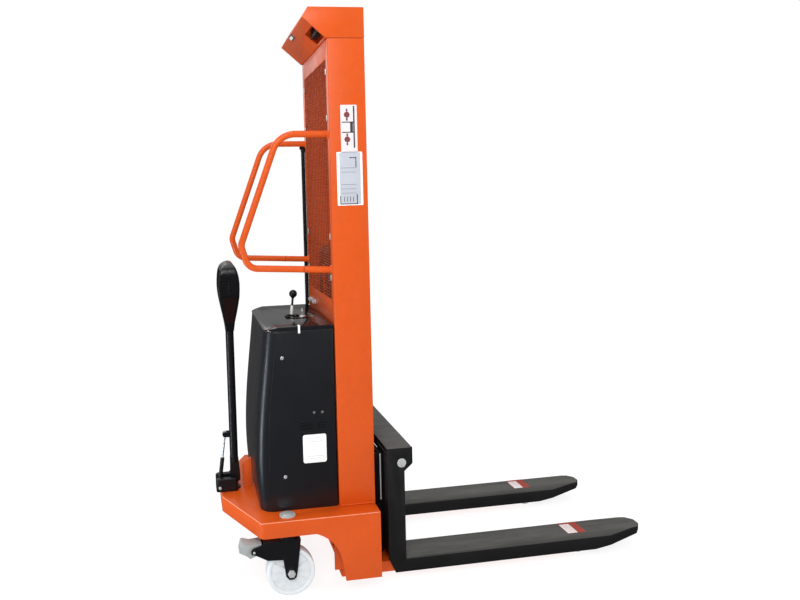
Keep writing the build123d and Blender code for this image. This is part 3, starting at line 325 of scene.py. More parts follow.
def apply_all(obj):
    """Bakes the modifiers into the mesh."""
    depsgraph = bpy.context.evaluated_depsgraph_get()
    mesh = bpy.data.meshes.new_from_object(obj.evaluated_get(depsgraph))
    obj.modifiers.clear()
    obj.data = mesh


def soften(obj, width, steps):
    """Rounds every edge that turns more than 32 degrees."""
    mod = obj.modifiers.new("edge", "BEVEL")
    mod.width = width
    mod.segments = steps
    mod.limit_method = "ANGLE"
    mod.angle_limit = radians(32)
    mod.harden_normals = False
    mod.miter_outer = "MITER_ARC"
    apply_all(obj)


def soft_copy(node, key, body, width, steps=2):
    """The CAD shape with its edges broken, standing for the CAD node."""
    bm = bmesh.new()
    bm.from_mesh(nodes[node].data)
    bmesh.ops.remove_doubles(bm, verts=bm.verts, dist=1e-6)
    bmesh.ops.dissolve_limit(bm, angle_limit=radians(0.6), verts=bm.verts, edges=bm.edges)
    obj = piece(node + "_skin", bm, key, body, 38, width, steps)
    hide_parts(node)


def box_into(bm, centre, size, turn=None):
    """A box of the given size, turned about its own centre."""
    made = bmesh.ops.create_cube(bm, size=1.0)["verts"]
    matrix = Matrix.Translation(centre) @ (turn or Matrix()) @ Matrix.Diagonal((*size, 1))
    bmesh.ops.transform(bm, matrix=matrix, verts=made)


def tube_into(bm, points, radius, sides=10):
    """A tube of constant or varying radius along a list of points."""
    rings = []
    count = len(points)
    radii = radius if isinstance(radius, list) else [radius] * count
    side = None
    for i, point in enumerate(points):
        a = Vector(points[max(i - 1, 0)])
        b = Vector(points[min(i + 1, count - 1)])
        along = (b - a).normalized()
        if side is None:
            side = along.orthogonal().normalized()
        side = (side - along * side.dot(along)).normalized()
        other = along.cross(side)
        ring = []
        for k in range(sides):
            t = 2 * pi * k / sides
            ring.append(bm.verts.new(Vector(point) + (side * cos(t) + other * sin(t)) * radii[i]))
        rings.append(ring)
    for a, b in zip(rings, rings[1:]):
        for k in range(sides):
            bm.faces.new((a[k], a[(k + 1) % sides], b[(k + 1) % sides], b[k]))
    bm.faces.new(rings[0])
    bm.faces.new(rings[-1])


def lathe_into(bm, profile, centre, axis, sides=48):
    """Turned shape: profile is a closed list of (distance along axis, radius)."""
    axis = Vector(axis).normalized()
    side = axis.orthogonal().normalized()
    other = axis.cross(side)
    centre = Vector(centre)
    rings = []
    for along, radius in profile:
        ring = []
        for k in range(sides):
            t = 2 * pi * k / sides
            ring.append(bm.verts.new(centre + axis * along + (side * cos(t) + other * sin(t)) * radius))
        rings.append(ring)
    pairs = list(zip(rings, rings[1:] + rings[:1]))
    for a, b in pairs:
        for k in range(sides):
            bm.faces.new((a[k], a[(k + 1) % sides], b[(k + 1) % sides], b[k]))


def prism_into(bm, centre, u, v, w, h, r, t, steps=5):
    """Rounded rectangle plate on directions u and v, t thick along their cross product."""
    u, v = Vector(u).normalized(), Vector(v).normalized()
    out = u.cross(v)
    outline = []
    for k, (sx, sy) in enumerate(((1, 1), (-1, 1), (-1, -1), (1, -1))):
        for i in range(steps + 1):
            turn = pi / 2 * (k + i / steps)
            a = (w / 2 - r) * sx + r * cos(turn)
            b = (h / 2 - r) * sy + r * sin(turn)
            outline.append((a, b))
    rings = [[bm.verts.new(Vector(centre) + u * a + v * b + out * d) for a, b in outline] for d in (0, t)]
    n = len(outline)
    for i in range(n):
        j = (i + 1) % n
        bm.faces.new((rings[0][i], rings[0][j], rings[1][j], rings[1][i]))
    bm.faces.new(rings[0])
    bm.faces.new(rings[1])


def outline_into(bm, points, out, t):
    """Plate with a given outline of points, t thick along out."""
    a = [bm.verts.new(Vector(p)) for p in points]
    b = [bm.verts.new(Vector(p) + Vector(out) * t) for p in points]
    n = len(points)
    for i in range(n):
        bm.faces.new((a[i], a[(i + 1) % n], b[(i + 1) % n], b[i]))
    bm.faces.new(a)
    bm.faces.new(b)


def solid_of_turn(bm, profile, centre, axis, sides=32):
    """Closed turned solid: profile runs from one end of the axis to the other."""
    first, last = profile[0][0], profile[-1][0]
    lathe_into(bm, [(first, 0.0001)] + profile + [(last, 0.0001)], centre, axis, sides)


def round_corners(points, radii, steps=10):
    """Points of a bent tube: straight runs with a round bend at each inner corner."""
    made = [Vector(points[0])]
    for i, radius in enumerate(radii, 1):
        at = Vector(points[i])
        back = (Vector(points[i - 1]) - at).normalized()
        on = (Vector(points[i + 1]) - at).normalized()
        half = back.angle(on) / 2
        reach = radius / sin(half) * cos(half)
        hub = at + (back + on).normalized() * (radius / sin(half))
        first = at + back * reach - hub
        last = at + on * reach - hub
        for k in range(steps + 1):
            made.append(hub + first.lerp(last, k / steps).normalized() * radius)
    return made + [Vector(points[-1])]


# ------------------------------------------------------------------ CAD nodes
paint("orange", "rear_chain_bracket")
paint("zinc", "load_wheel_axles", "front_chain_bolts", "rear_chain_bolts")
paint("zinc", "cylinder_gland", "cover_screws")
paint("black", "cylinder_barrel", "tiller_tube", "gas_spring_body", "chain_yoke", "pump_motor")
paint("black", "tiller_pins")
paint("chrome", "piston_rod", "gas_spring_rod")
paint("plastic", "hydraulic_tank")
paint("alloy", "pump_block")
paint("rubber", "pressure_hose")
paint("grey", "battery")

for where, _ in SIDES:
    soft_copy(f"mast_channel_{where}", "orange", "chassis", 0.004, 3)
    soft_copy(f"fork_{where}", "fork", "carriage", 0.002)
    soft_copy(f"caster_fork_{where}", "black", f"caster_{where}", 0.0015)
    soft_copy(f"caster_axle_{where}", "zinc", f"caster_{where}", 0.0012)
    soft_copy(f"brake_pedal_{where}", "pedal", f"caster_{where}_pedal", 0.0012)
    soft_copy(f"load_wheel_{where}", "nylon", f"load_wheel_{where}_body", 0.0015)
    for row in ("lower", "upper"):
        soft_copy(f"mast_roller_{row}_{where}", "chain", f"roller_{row}_{where}", 0.001)
soft_copy("chassis_frame", "orange", "chassis", 0.003)
soft_copy("mast_hood", "orange", "chassis", 0.003)
soft_copy("upper_cross_plate", "orange", "chassis", 0.0015)
soft_copy("lower_cross_plate", "orange", "chassis", 0.0015)
soft_copy("support_leg_frame", "orange", "chassis", 0.0025)
soft_copy("carriage_frame", "black", "carriage", 0.002)
soft_copy("carriage_beam", "fork", "carriage", 0.002)
soft_copy("fork_shaft", "zinc", "carriage", 0.0015)
soft_copy("power_cover", "cover", "chassis", 0.002)
soft_copy("cover_top_panel", "panel", "chassis", 0.003, 3)
soft_copy("tiller_seat", "black", "tiller_mount", 0.002)
soft_copy("caster_kingpins", "zinc", "chassis", 0.0012)
soft_copy("chain_pulleys", "chain", "pulleys", 0.001)

# ------------------------------------------------------------------ wire guard
guard_low, guard_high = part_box("guard_mesh")
wire_x = (guard_low[0] + guard_high[0]) / 2
row_x, column_x = wire_x + 0.0006, wire_x - 0.0009
wire_r = 0.0015
rows, columns = 84, 14
wide = guard_high[1] - guard_low[1]
tall = guard_high[2] - guard_low[2]
bm = bmesh.new()
for i in range(rows + 1):
    z = guard_low[2] + 0.002 + (tall - 0.004) * i / rows
    tube_into(bm, [(row_x, guard_low[1], z), (row_x, guard_high[1], z)], wire_r, 6)
for i in range(columns + 1):
    y = guard_low[1] + 0.003 + (wide - 0.006) * i / columns
    tube_into(bm, [(column_x, y, guard_low[2]), (column_x, y, guard_high[2])], wire_r, 6)
# the wires take the darkened orange, painted shade
guard = piece("guard_wires", bm, "orange_painted_shade", "chassis")
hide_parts("guard_mesh")

# guard clips on the rear flanges
clip_heights = (1.12, 1.27, 1.695, 1.86)
bm = bmesh.new()
for _, side in SIDES:
    for z in clip_heights:
        prism_into(bm, (MR - 0.0002, side * 0.2335, z), (0, 1, 0), (0, 0, -1), 0.014, 0.022, 0.004, 0.0022)
piece("guard_clips", bm, "zinc", "chassis", bevel=0.0005)

# ------------------------------------------------------------------ mast details
# painted shade: dark strips in the gap where the hood sits on the uprights
seam_z = high("mast_channel_left")[2]
bm = bmesh.new()
for _, side in SIDES:
    box_into(bm, ((MF + MR) / 2, side * (MAST_SIDE - 0.0024), seam_z), (MF - MR - 0.004, 0.003, 0.0052))
    box_into(bm, (MR + 0.0024, side * (MAST_SIDE - 0.022), seam_z), (0.003, 0.038, 0.005))
piece("hood_seams", bm, "shadow", "chassis", bevel=0.0008)

# uneven weld bead between each upright and the deck
bead_steps = 45
bm = bmesh.new()
for _, side in SIDES:
    y = side * (MAST_SIDE + 0.001)
    points, radii = [], []
    for i in range(bead_steps + 1):
        t = i / bead_steps
        points.append((MR + 0.003 + (MF - MR - 0.006) * t, y, DECK + 0.0022))
        radii.append(0.0028 + 0.0007 * sin(i * 2.1) + 0.0004 * sin(i * 5.3 + side))
    tube_into(bm, points, radii, 8)
piece("deck_welds", bm, "orange", "chassis", 60)

# grab rails: weld rings on the flange, bent tubes, and a joint line near the lower end
rail_top_z, rail_foot_z = 1.635, 1.150
rail_route = [
    (MR + 0.001, 1.639), (MF - 0.314, 1.641), (MF - 0.4605, 1.250),
    (MF - 0.436, 1.168), (MR + 0.001, rail_foot_z),
]
rail_bends = [0.085, 0.042, 0.046]  # bend radius at each inner corner of the route
ring = [(0.0, 0.0115), (0.0, 0.0165), (0.0025, 0.0152), (0.0050, 0.0128), (0.0056, 0.0115)]
bm = bmesh.new()
for _, side in SIDES:
    for z in (rail_top_z, rail_foot_z):
        lathe_into(bm, ring, (MR, side * RAIL_Y, z + 0.0008), (-1, 0, 0), 28)
piece("rail_welds", bm, "orange", "chassis", 50)
for where, side in SIDES:
    bm = bmesh.new()
    tube_into(bm, round_corners([(x, side * RAIL_Y, z) for x, z in rail_route], rail_bends), RAIL_R, 24)
    rail = piece(f"bent_rail_{where}", bm, "orange", "chassis", 50)
    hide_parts(f"grab_rail_{where}")
ring = [(0.0, RAIL_R - 0.002), (0.0, RAIL_R + 0.0003), (0.0014, RAIL_R + 0.0003), (0.0014, RAIL_R - 0.002)]
joint_x, joint_z, joint_line = MF - 0.238, 1.1562, (1, 0, -0.06)
bm = bmesh.new()
for _, side in SIDES:
    lathe_into(bm, ring, (joint_x, side * RAIL_Y, joint_z), joint_line, 28)
piece("rail_joint_lines", bm, "shadow", "chassis", 50)

# painted highlight: pale lines along the deck edges, where the folds catch the light
edge_r = 0.0016
edge_z = DECK - 0.001
edge_corners = [(MF - 0.5535, 0.0800), (MF - 0.4318, 0.3498), (MF - 0.0050, 0.3498)]
bm = bmesh.new()
for _, side in SIDES:
    tube_into(bm, [(x, side * y, edge_z) for x, y in edge_corners], edge_r, 8)
tail_x, tail_y = edge_corners[0]
tube_into(bm, [(tail_x, -tail_y, edge_z), (tail_x, tail_y, edge_z)], edge_r, 8)
piece("deck_edge_highlight", bm, "pale", "chassis", 60)

# painted shade: a dark plate inside the hood, standing for the shade seen through its opening
bm = bmesh.new()
shade_plate_mid, shade_plate_size = (MF - 0.1535, -0.192, 2.0150), (0.026, 0.141, 0.036)
box_into(bm, shade_plate_mid, shade_plate_size)
piece("hood_shade_plate", bm, "rubber", "chassis", bevel=0.0006)

# generic blank plates on the right upright, each a rounded sheet facing the operator's right
near = -MAST_SIDE


def on_upright(bm, x, z, w, h, r, t, lift):
    """A plate w wide and h tall on the upright's side, its face lift proud of it."""
    prism_into(bm, (MF + x, near - lift, z), ACROSS, UPWARD, w, h, r, t)


bm = bmesh.new()
on_upright(bm, -0.064, 1.654, 0.060, 0.168, 0.003, 0.0007, -0.0002)
piece("upper_plate", bm, "paper", "chassis", bevel=0.0002)
bm = bmesh.new()
on_upright(bm, -0.065, 1.4765, 0.094, 0.191, 0.003, 0.0007, -0.0002)
piece("lower_plate_rim", bm, "white", "chassis", bevel=0.0002)
bm = bmesh.new()
on_upright(bm, -0.064, 1.478, 0.076, 0.184, 0.003, 0.0005, 0.0004)
piece("lower_plate_face", bm, "silver", "chassis", bevel=0.0002)

# strokes, four ticks and thin lines: x from the mast's front plane, z, width, height
upper_strokes = (
    (-0.0455, 1.660, 0.005, 0.148), (-0.0675, 1.677, 0.044, 0.0035),
    (-0.0675, 1.641, 0.044, 0.0035), (-0.0545, 1.659, 0.010, 0.036),
)
thin_line_heights = (1.425, 1.440, 1.456, 1.500, 1.515)
lower_strokes = (
    (-0.101, 1.400, 0.003, 0.030), (-0.069, 1.3865, 0.064, 0.003), (-0.040, 1.404, 0.003, 0.034),
    (-0.042, 1.535, 0.003, 0.038), (-0.055, 1.551, 0.022, 0.003),
)
bm = bmesh.new()
for x, z, w, h in upper_strokes:
    on_upright(bm, x, z, w, h, 0.001, 0.0005, 0.0004)
for x, z, w, h in lower_strokes:
    on_upright(bm, x, z, w, h, 0.001, 0.0004, 0.0009)
for k in range(4):
    on_upright(bm, -0.087 + 0.011 * k, 1.4035, 0.002, 0.018, 0.0008, 0.0004, 0.0009)
for z in thin_line_heights:
    on_upright(bm, -0.070, z, 0.056, 0.0008, 0.0003, 0.0004, 0.0009)
piece("plate_marks", bm, "ink", "chassis")

disc = [(0, 0.0004), (0, 0.011), (0.0005, 0.011), (0.0005, 0.0004)]
bm = bmesh.new()
for z in (1.703, 1.616):
    lathe_into(bm, disc, (MF - 0.071, near - 0.0004, z), (0, -1, 0), 8)
    for dz in (0.016, -0.016):
        on_upright(bm, -0.071, z + dz, 0.006, 0.010, 0.002, 0.0005, 0.0004)
piece("plate_spots", bm, "wine", "chassis")

# metal catch on the lower cross plate
catch_z = 0.985
bm = bmesh.new()
prism_into(bm, (MR - 0.0002, 0.170, catch_z), (0, 1, 0), (0, 0, -1), 0.150, 0.016, 0.004, 0.004)
box_into(bm, (MR - 0.009, 0.110, catch_z), (0.012, 0.020, 0.012))
box_into(bm, (MR - 0.009, 0.190, catch_z), (0.012, 0.034, 0.012))
piece("plate_catch", bm, "zinc", "chassis", bevel=0.001)

# lamp under the hood's beak: case and lens, both along the sloping sheet
bm = bmesh.new()
slope = Vector((-0.082, 0, 0.072)).normalized()
away = Vector((-0.072, 0, -0.082)).normalized()
spot = Vector((MF - 0.208, 0.030, high("mast_hood")[2] - 0.038))
prism_into(bm, spot - away * 0.002, (0, -1, 0), slope, 0.056, 0.024, 0.004, 0.012)
piece("beak_lamp_case", bm, "grey", "chassis", bevel=0.0012)
bm = bmesh.new()
prism_into(bm, spot + away * 0.0095, (0, -1, 0), slope, 0.044, 0.012, 0.003, 0.0025)
piece("beak_lamp_lens", bm, "white", "chassis", bevel=0.0008)

# ribbed conduit up the left upright, with the switch at its top
pipe_x, pipe_y, pipe_top = MR - 0.0095, 0.2604, 1.612
bore, valley, rib = 0.0055, 0.0072, 0.0088
ribs = 150
pitch = (pipe_top - PANEL_TOP) / ribs
profile = [(0, bore)]
for i in range(ribs):
    profile += [(pitch * (i + at), r) for at, r in ((0, valley), (0.22, rib), (0.62, rib), (0.84, valley))]
profile += [(pitch * ribs, valley), (pitch * ribs, bore)]
bm = bmesh.new()
lathe_into(bm, profile, (pipe_x, pipe_y, PANEL_TOP), (0, 0, 1), 20)
piece("ribbed_conduit", bm, "rubber", "chassis", 50)
bm = bmesh.new()
box_into(bm, (MR - 0.011, 0.261, 1.633), (0.022, 0.017, 0.034))
solid_of_turn(bm, [(0, 0.0092), (0.008, 0.0092), (0.010, 0.0075)], (pipe_x, pipe_y, 1.607), (0, 0, 1), 20)
box_into(bm, (MR - 0.0225, 0.261, 1.633), (0.0015, 0.013, 0.027))
tube_into(bm, [(MR - 0.014, 0.2535, 1.642), (MR - 0.014, 0.2485, 1.642)], 0.005, 14)
switch = piece("top_switch", bm, "plastic", "chassis", bevel=0.0012)
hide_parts("limit_switch")

# ------------------------------------------------------------------ cover details
# side panels: the rear edge follows the bulge of the cover
edge = [(-0.385, 0.296), (-0.388, 0.400), (-0.388, 0.520), (-0.380, 0.660), (-0.364, 0.803), (-0.3505, 0.920)]
panel_foot, panel_head, round_z, round_r = 0.296, 0.936, 0.920, 0.016
bm = bmesh.new()
for _, side in SIDES:
    y = side * (COVER_SIDE - 0.001)
    points = [(MF + x, y, z) for x, z in edge]
    for k in range(1, 6):
        turn = pi / 2 * k / 5
        points.append((MF - 0.3345 - round_r * cos(turn), y, round_z + round_r * sin(turn)))
    points += [(COVER_FRONT - 0.006, y, z) for z in (panel_head, panel_foot)]
    outline_into(bm, points, (0, side, 0), 0.0030)
piece("cover_side_panels", bm, "cover", "chassis", bevel=0.0012, steps=3)
panel_y = -(COVER_SIDE + 0.002)

# louvres with strips of painted shade in the slots between them, two lamps, and a blank plate with four lines
louvres = (
    (-0.249, 0.050, (0.604, 0.598, 0.5895, 0.583, 0.577)),
    (-0.1925, 0.036, (0.604, 0.5945, 0.5855, 0.578)),
)
slots = (
    (-0.249, 0.050, (0.6005, 0.5935, 0.586, 0.580)),
    (-0.1925, 0.036, (0.599, 0.590, 0.5815)),
)
bm = bmesh.new()
for x, wide_x, levels in louvres:
    for z in levels:
        prism_into(bm, (MF + x, panel_y, z), ACROSS, UPWARD, wide_x, 0.0034, 0.0016, 0.0014, 4)
piece("cover_louvres", bm, "cover", "chassis", bevel=0.0004)
bm = bmesh.new()
# painted shade: dark glossy strips in the slots between the louvres
for x, wide_x, levels in slots:
    for z in levels:
        at = (MF + x, panel_y + 0.0001, z)
        prism_into(bm, at, ACROSS, UPWARD, wide_x - 0.003, 0.0022, 0.001, 0.0003)
piece("louvre_slot_shade", bm, "gloss", "chassis")

dome = [(0, 0.0052), (0.0012, 0.0052), (0.0024, 0.004), (0.003, 0.002)]
bm = bmesh.new()
for x in (-0.219, -0.189):
    solid_of_turn(bm, dome, (MF + x, panel_y, 0.638), (0, -1, 0), 20)
piece("cover_lamps", bm, "lens", "chassis", 60)

plate_x = MF - 0.2205
bm = bmesh.new()
prism_into(bm, (plate_x, panel_y + 0.0002, 0.506), ACROSS, UPWARD, 0.086, 0.104, 0.008, 0.0008, 6)
piece("cover_blank_plate", bm, "white", "chassis", bevel=0.0002)
bm = bmesh.new()
for z, w in ((0.545, 0.050), (0.532, 0.062), (0.478, 0.062), (0.470, 0.040)):
    prism_into(bm, (plate_x, panel_y - 0.0006, z), ACROSS, UPWARD, w, 0.0012, 0.0004, 0.0003)
piece("cover_plate_lines", bm, "silver", "chassis")

# socket heads over the plain screw discs
ring = [(0, 0.0028), (0, 0.0068), (0.0012, 0.0068), (0.0022, 0.0060), (0.0028, 0.0045), (0.0026, 0.0028)]
bm = bmesh.new()
for _, side in SIDES:
    for x, z in ((-0.330, 0.844), (-0.331, 0.410)):
        lathe_into(bm, ring, (MF + x, side * (COVER_SIDE + 0.0018), z), (0, side, 0), 24)
piece("cover_screw_heads", bm, "chrome", "chassis", 50)

# catch over the top edge of the right side panel
catch_x, catch_wide = MF - 0.2655, 0.0075
bm = bmesh.new()
box_into(bm, (catch_x, -(COVER_SIDE + 0.003), 0.943), (catch_wide, 0.004, 0.026))
box_into(bm, (catch_x, -(COVER_SIDE - 0.005), 0.9565), (catch_wide, 0.018, 0.004))
piece("cover_catch", bm, "white", "chassis", bevel=0.001)

# pale line under the bevel of the top panel, round its rear corners
corner_r, trim_z = 0.0508, 0.9405
path = []
for _, side in SIDES:
    turn_path = []
    for k in range(9):
        turn = pi / 2 * k / 8
        y = side * (COVER_SIDE - corner_r + corner_r * cos(turn))
        turn_path.append((MF - 0.3372 - corner_r * sin(turn), y, trim_z))
    path += turn_path if side == 1 else turn_path[::-1]
bm = bmesh.new()
tube_into(bm, path[3:-3], 0.0016, 8)
piece("cover_pale_line", bm, "rose", "chassis", 60)

# ------------------------------------------------------------------ controls
# lift lever: dark rod, a sleeve painted white as the reflection on its chrome, black ball, and a rubber boot
# on the panel
foot = Vector((MF - 0.260, -0.028, PANEL_TOP - 0.024))
ball = Vector((MF - 0.248, -0.028, 1.041))
lean = (ball - foot).normalized()
length = (ball - foot).length
bm = bmesh.new()
solid_of_turn(bm, [(0, 0.0042), (length - 0.014, 0.0042)], foot, lean, 20)
solid_of_turn(bm, [(-0.012, 0.009), (0.012, 0.009)], foot, (0, 1, 0), 28)
solid_of_turn(bm, [(-0.024, 0.0039), (0.024, 0.0039)], foot, (0, 1, 0), 20)
stick = piece("lever_rod", bm, "black", "lever", bevel=0.0004)
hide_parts("lift_lever")
bm = bmesh.new()
# painted reflection: the chrome sleeve is drawn in flat white
ring = [(0.031, 0.0040), (0.031, 0.0056), (0.0325, 0.0060), (0.062, 0.0056), (0.066, 0.0050), (0.066, 0.0040)]
lathe_into(bm, ring, foot, lean, 28)
piece("lever_sleeve", bm, "white", "lever", 50)

ball_r = 0.0155
profile = [(-0.0175, 0.0052), (-0.0150, 0.0062)]
profile += [(ball_r * -cos(pi * k / 16), ball_r * sin(pi * k / 16)) for k in range(3, 16)]
bm = bmesh.new()
solid_of_turn(bm, profile, ball, lean, 36)
piece("lever_ball", bm, "gloss", "lever", 60)

bm = bmesh.new()
spot = Vector((foot.x + 0.0028, foot.y, PANEL_TOP))
ring = [(0.0, 0.0172), (0.0, 0.0265), (0.002, 0.0270), (0.0035, 0.0255), (0.004, 0.0215), (0.0030, 0.0178)]
lathe_into(bm, ring, spot, (0, 0, 1), 36)
piece("lever_grommet", bm, "rubber", "chassis", 50)

# instrument plate: battery gauge, key switch, status lamps
key_mid = middle("key")
gauge = Vector((MF - 0.244, -0.052, PANEL_TOP))
bm = bmesh.new()
prism_into(bm, (MF - 0.233, -0.062, PANEL_TOP - 0.0002), (1, 0, 0), (0, 1, 0), 0.066, 0.058, 0.008, 0.003, 6)
ring = [(0.0, 0.0095), (0.0, 0.0135), (0.0075, 0.0135), (0.009, 0.0125), (0.009, 0.0110), (0.007, 0.0102),
        (0.0062, 0.0095)]
lathe_into(bm, ring, gauge, (0, 0, 1), 36)
board = piece("instrument_board", bm, "gloss", "chassis", 45, 0.0006)
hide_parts("instrument_panel")
bm = bmesh.new()
solid_of_turn(bm, [(0.003, 0.0100), (0.0064, 0.0100)], gauge, (0, 0, 1), 32)
piece("gauge_face", bm, "silver", "chassis")
mark_r = 0.0075
bm = bmesh.new()
for k in range(7):
    turn = radians(-120 + 40 * k)
    at = gauge + Vector((sin(turn) * mark_r, cos(turn) * mark_r, 0.0064))
    prism_into(bm, at, (cos(turn), -sin(turn), 0), (sin(turn), cos(turn), 0), 0.001, 0.003, 0.0003, 0.0002, 2)
needle_at = gauge + Vector((0.0015, 0.001, 0.0066))
prism_into(bm, needle_at, (1, -1, 0), (1, 1, 0), 0.0012, 0.012, 0.0005, 0.0003, 2)
piece("gauge_marks", bm, "ink", "chassis")
bm = bmesh.new()
ring = [(0.0, 0.0035), (0.0, 0.0110), (0.0055, 0.0110), (0.008, 0.0090), (0.008, 0.0035)]
lathe_into(bm, ring, (key_mid.x, key_mid.y, PANEL_TOP), (0, 0, 1), 32)
piece("key_switch_ring", bm, "zinc", "chassis", 40)
bm = bmesh.new()
box_into(bm, (key_mid.x, key_mid.y, PANEL_TOP + 0.0131), (0.0026, 0.0080, 0.0100))
lathe_into(bm, [(-0.0016, 0.0042), (-0.0016, 0.0104), (0.0016, 0.0104), (0.0016, 0.0042)],
           (key_mid.x, key_mid.y, PANEL_TOP + 0.0252), (1, 0, 0), 28)
turn_key = piece("ignition_key_bow", bm, "zinc", "ignition_key", 40, 0.0003)
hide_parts("key")
bm = bmesh.new()
for k in range(3):
    at = (MF - 0.2125, -0.045 - 0.0085 * k, PANEL_TOP + 0.0028)
    prism_into(bm, at, (1, 0, 0), (0, 1, 0), 0.010, 0.0035, 0.001, 0.0008, 3)
piece("status_marks", bm, "white", "chassis")


# ------------------------------------------------------------------ tiller head
def rounded(node, voxel, rounds, key):
    """The CAD shape remeshed in small voxels and smoothed, as moulded plastic."""
    bm = bmesh.new()
    bm.from_mesh(nodes[node].data)
    bmesh.ops.remove_doubles(bm, verts=bm.verts, dist=1e-6)
    mesh = bpy.data.meshes.new(node + "_soft")
    bm.to_mesh(mesh)
    bm.free()
    obj = bpy.data.objects.new(node + "_soft", mesh)
    bpy.context.collection.objects.link(obj)
    mod = obj.modifiers.new("voxels", "REMESH")
    mod.mode = "VOXEL"
    mod.voxel_size = voxel
    mod = obj.modifiers.new("smooth", "SMOOTH")
    mod.factor = 0.5
    mod.iterations = rounds
    apply_all(obj)
    obj.data.materials.clear()
    obj.data.materials.append(M[key])
    smooth_by_angle(obj, 80)
    return obj


head = rounded("tiller_head", 0.0026, 12, "gloss")
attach(head, "tiller")
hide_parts("tiller_head")
trigger = rounded("finger_lever", 0.0016, 6, "plastic")
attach(trigger, "tiller_trigger")
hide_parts("finger_lever")

# moulding lines on the outer sides of the loop, from the middle of the grip up
loop_x, loop_y = MF - 0.498, 0.0985
seam_steps = 14
seams = ((-0.004, 0.990, 1.158, 0.0022), (0.010, 0.985, 1.150, 0.0016))  # shift, foot, head, radius
bm = bmesh.new()
for _, side in SIDES:
    y = side * loop_y
    for dx, z0, z1, r in seams:
        points, radii = [], []
        for i in range(seam_steps + 1):
            t = i / seam_steps
            z = z0 + (z1 - z0) * t
            points.append((loop_x + dx + 0.002 * sin(pi * t), y - side * 0.002 * (2 * t - 1) ** 2, z))
            radii.append(r * (0.25 + 0.75 * sin(pi * t) ** 0.4 if 0 < t < 1 else 0.2))
        tube_into(bm, points[6:], radii[6:], 8)
piece("head_seams", bm, "plastic", "tiller", 60)

# spring foot pin, bright
pin = [(-0.0455, 0.0048), (-0.0442, 0.0058), (0.0442, 0.0058), (0.0455, 0.0048)]
bm = bmesh.new()
solid_of_turn(bm, pin, (MF - 0.558, 0, 0.301), (0, 1, 0), 24)
piece("spring_foot_pin", bm, "zinc", "tiller_mount", 45)

# ------------------------------------------------------------------ caster wheels
spokes, spoke_mid_r, spoke_size = 12, 0.0488, (0.046, 0.0045, 0.0030)
for where, _ in SIDES:
    lo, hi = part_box(f"caster_wheel_{where}")
    mid = (Vector(lo) + Vector(hi)) / 2
    r = (hi[2] - lo[2]) / 2
    half = (hi[1] - lo[1]) / 2
    profile = [(-half, 0.0081), (-half, 0.0245), (-half + 0.0015, 0.0262), (-half + 0.0052, 0.0272),
               (-half + 0.0056, 0.0700), (-half + 0.0015, 0.0716), (-half, 0.0735), (-half, 0.0822),
               (-half + 0.0012, 0.0846), (-half + 0.0040, r - 0.0008), (-half + 0.009, r - 0.0002), (0, r)]
    profile += [(-a, b) for a, b in profile[:-1][::-1]]
    bm = bmesh.new()
    lathe_into(bm, profile, mid, (0, 1, 0), 72)
    for face in (1, -1):
        for k in range(spokes):
            turn = 2 * pi * k / spokes
            at = mid + Vector((cos(turn) * spoke_mid_r, face * (half - 0.0035), sin(turn) * spoke_mid_r))
            box_into(bm, at, spoke_size, Matrix.Rotation(-turn, 4, "Y"))
    wheel = piece(f"caster_tyre_{where}", bm, "nylon", f"caster_{where}_wheel", 40)
    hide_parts(f"caster_wheel_{where}")

# bright head of the pin that each brake pedal turns on
pin_head = [(-0.002, 0.0044), (0.0022, 0.0044), (0.0032, 0.0036)]
for where, side in SIDES:
    cheek = (high if side > 0 else low)(f"caster_fork_{where}")[1]
    bm = bmesh.new()
    solid_of_turn(bm, pin_head, (MF - 0.459, cheek, 0.178), (0, side, 0), 20)
    piece(f"pedal_pin_head_{where}", bm, "zinc", f"caster_{where}", 45)

# ------------------------------------------------------------------ leaf chains
PITCH = 0.015875  # 5/8 inch
LINK_HALF, LINK_WIDE = 0.0058, 0.0027
PIN_HALF, PIN_R = 0.0078, 0.0023
LANES = ((-0.0031, 0.0031), (-0.0062, 0.0, 0.0062))  # two plates, then three, in turn


def link_into(bm, centre, along, across_y, size=1.0):
    """One chain plate: a stadium in the XZ plane, its middle across_y off the centre."""
    wide, half_tall = LINK_WIDE * size, LINK_HALF * size
    a = Vector(along).normalized()
    b = Vector((0, 1, 0)).cross(a)
    outline = []
    for k in range(12):
        turn = 2 * pi * (k + 0.5) / 12
        reach = PITCH / 2 if cos(turn) > 0 else -PITCH / 2
        outline.append(Vector(centre) + a * (reach + cos(turn) * half_tall) + b * sin(turn) * half_tall)
    outline_into(bm, [p + Vector((0, across_y - wide / 2, 0)) for p in outline], (0, 1, 0), wide)


def run_into(bm, x, y, z0, z1, size=1.0):
    """A straight upright run of leaf chain with its pins; size scales only the section."""
    count = int((z1 - z0) / PITCH)
    step = (z1 - z0) / count
    for k in range(count):
        z = z0 + step * (k + 0.5)
        for lane in LANES[k % 2]:
            link_into(bm, (x, y, z), (0, 0, 1), lane * size, size)
    pin_half = PIN_HALF * size
    for k in range(count + 1):
        z = z0 + step * k
        tube_into(bm, [(x, y - pin_half, z), (x, y + pin_half, z)], PIN_R, 6)


chain_ys = (0.055, -0.055)
wheel_mid = middle("chain_pulleys")
front_low, front_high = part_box("front_chains")
rear_low, rear_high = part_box("rear_chains")
front_x = (front_low[0] + front_high[0]) / 2
rear_x = (rear_low[0] + rear_high[0]) / 2
bm = bmesh.new()
for y in chain_ys:
    run_into(bm, front_x, y, front_low[2], front_high[2])
chain = piece("front_leaf_chains", bm, "chain", "carriage", 30)
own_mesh(chain)
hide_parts("front_chains")
bm = bmesh.new()
for y in chain_ys:
    run_into(bm, rear_x, y, rear_low[2], rear_high[2])
chain = piece("rear_leaf_chains", bm, "chain", "chassis", 30)
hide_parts("rear_chains")
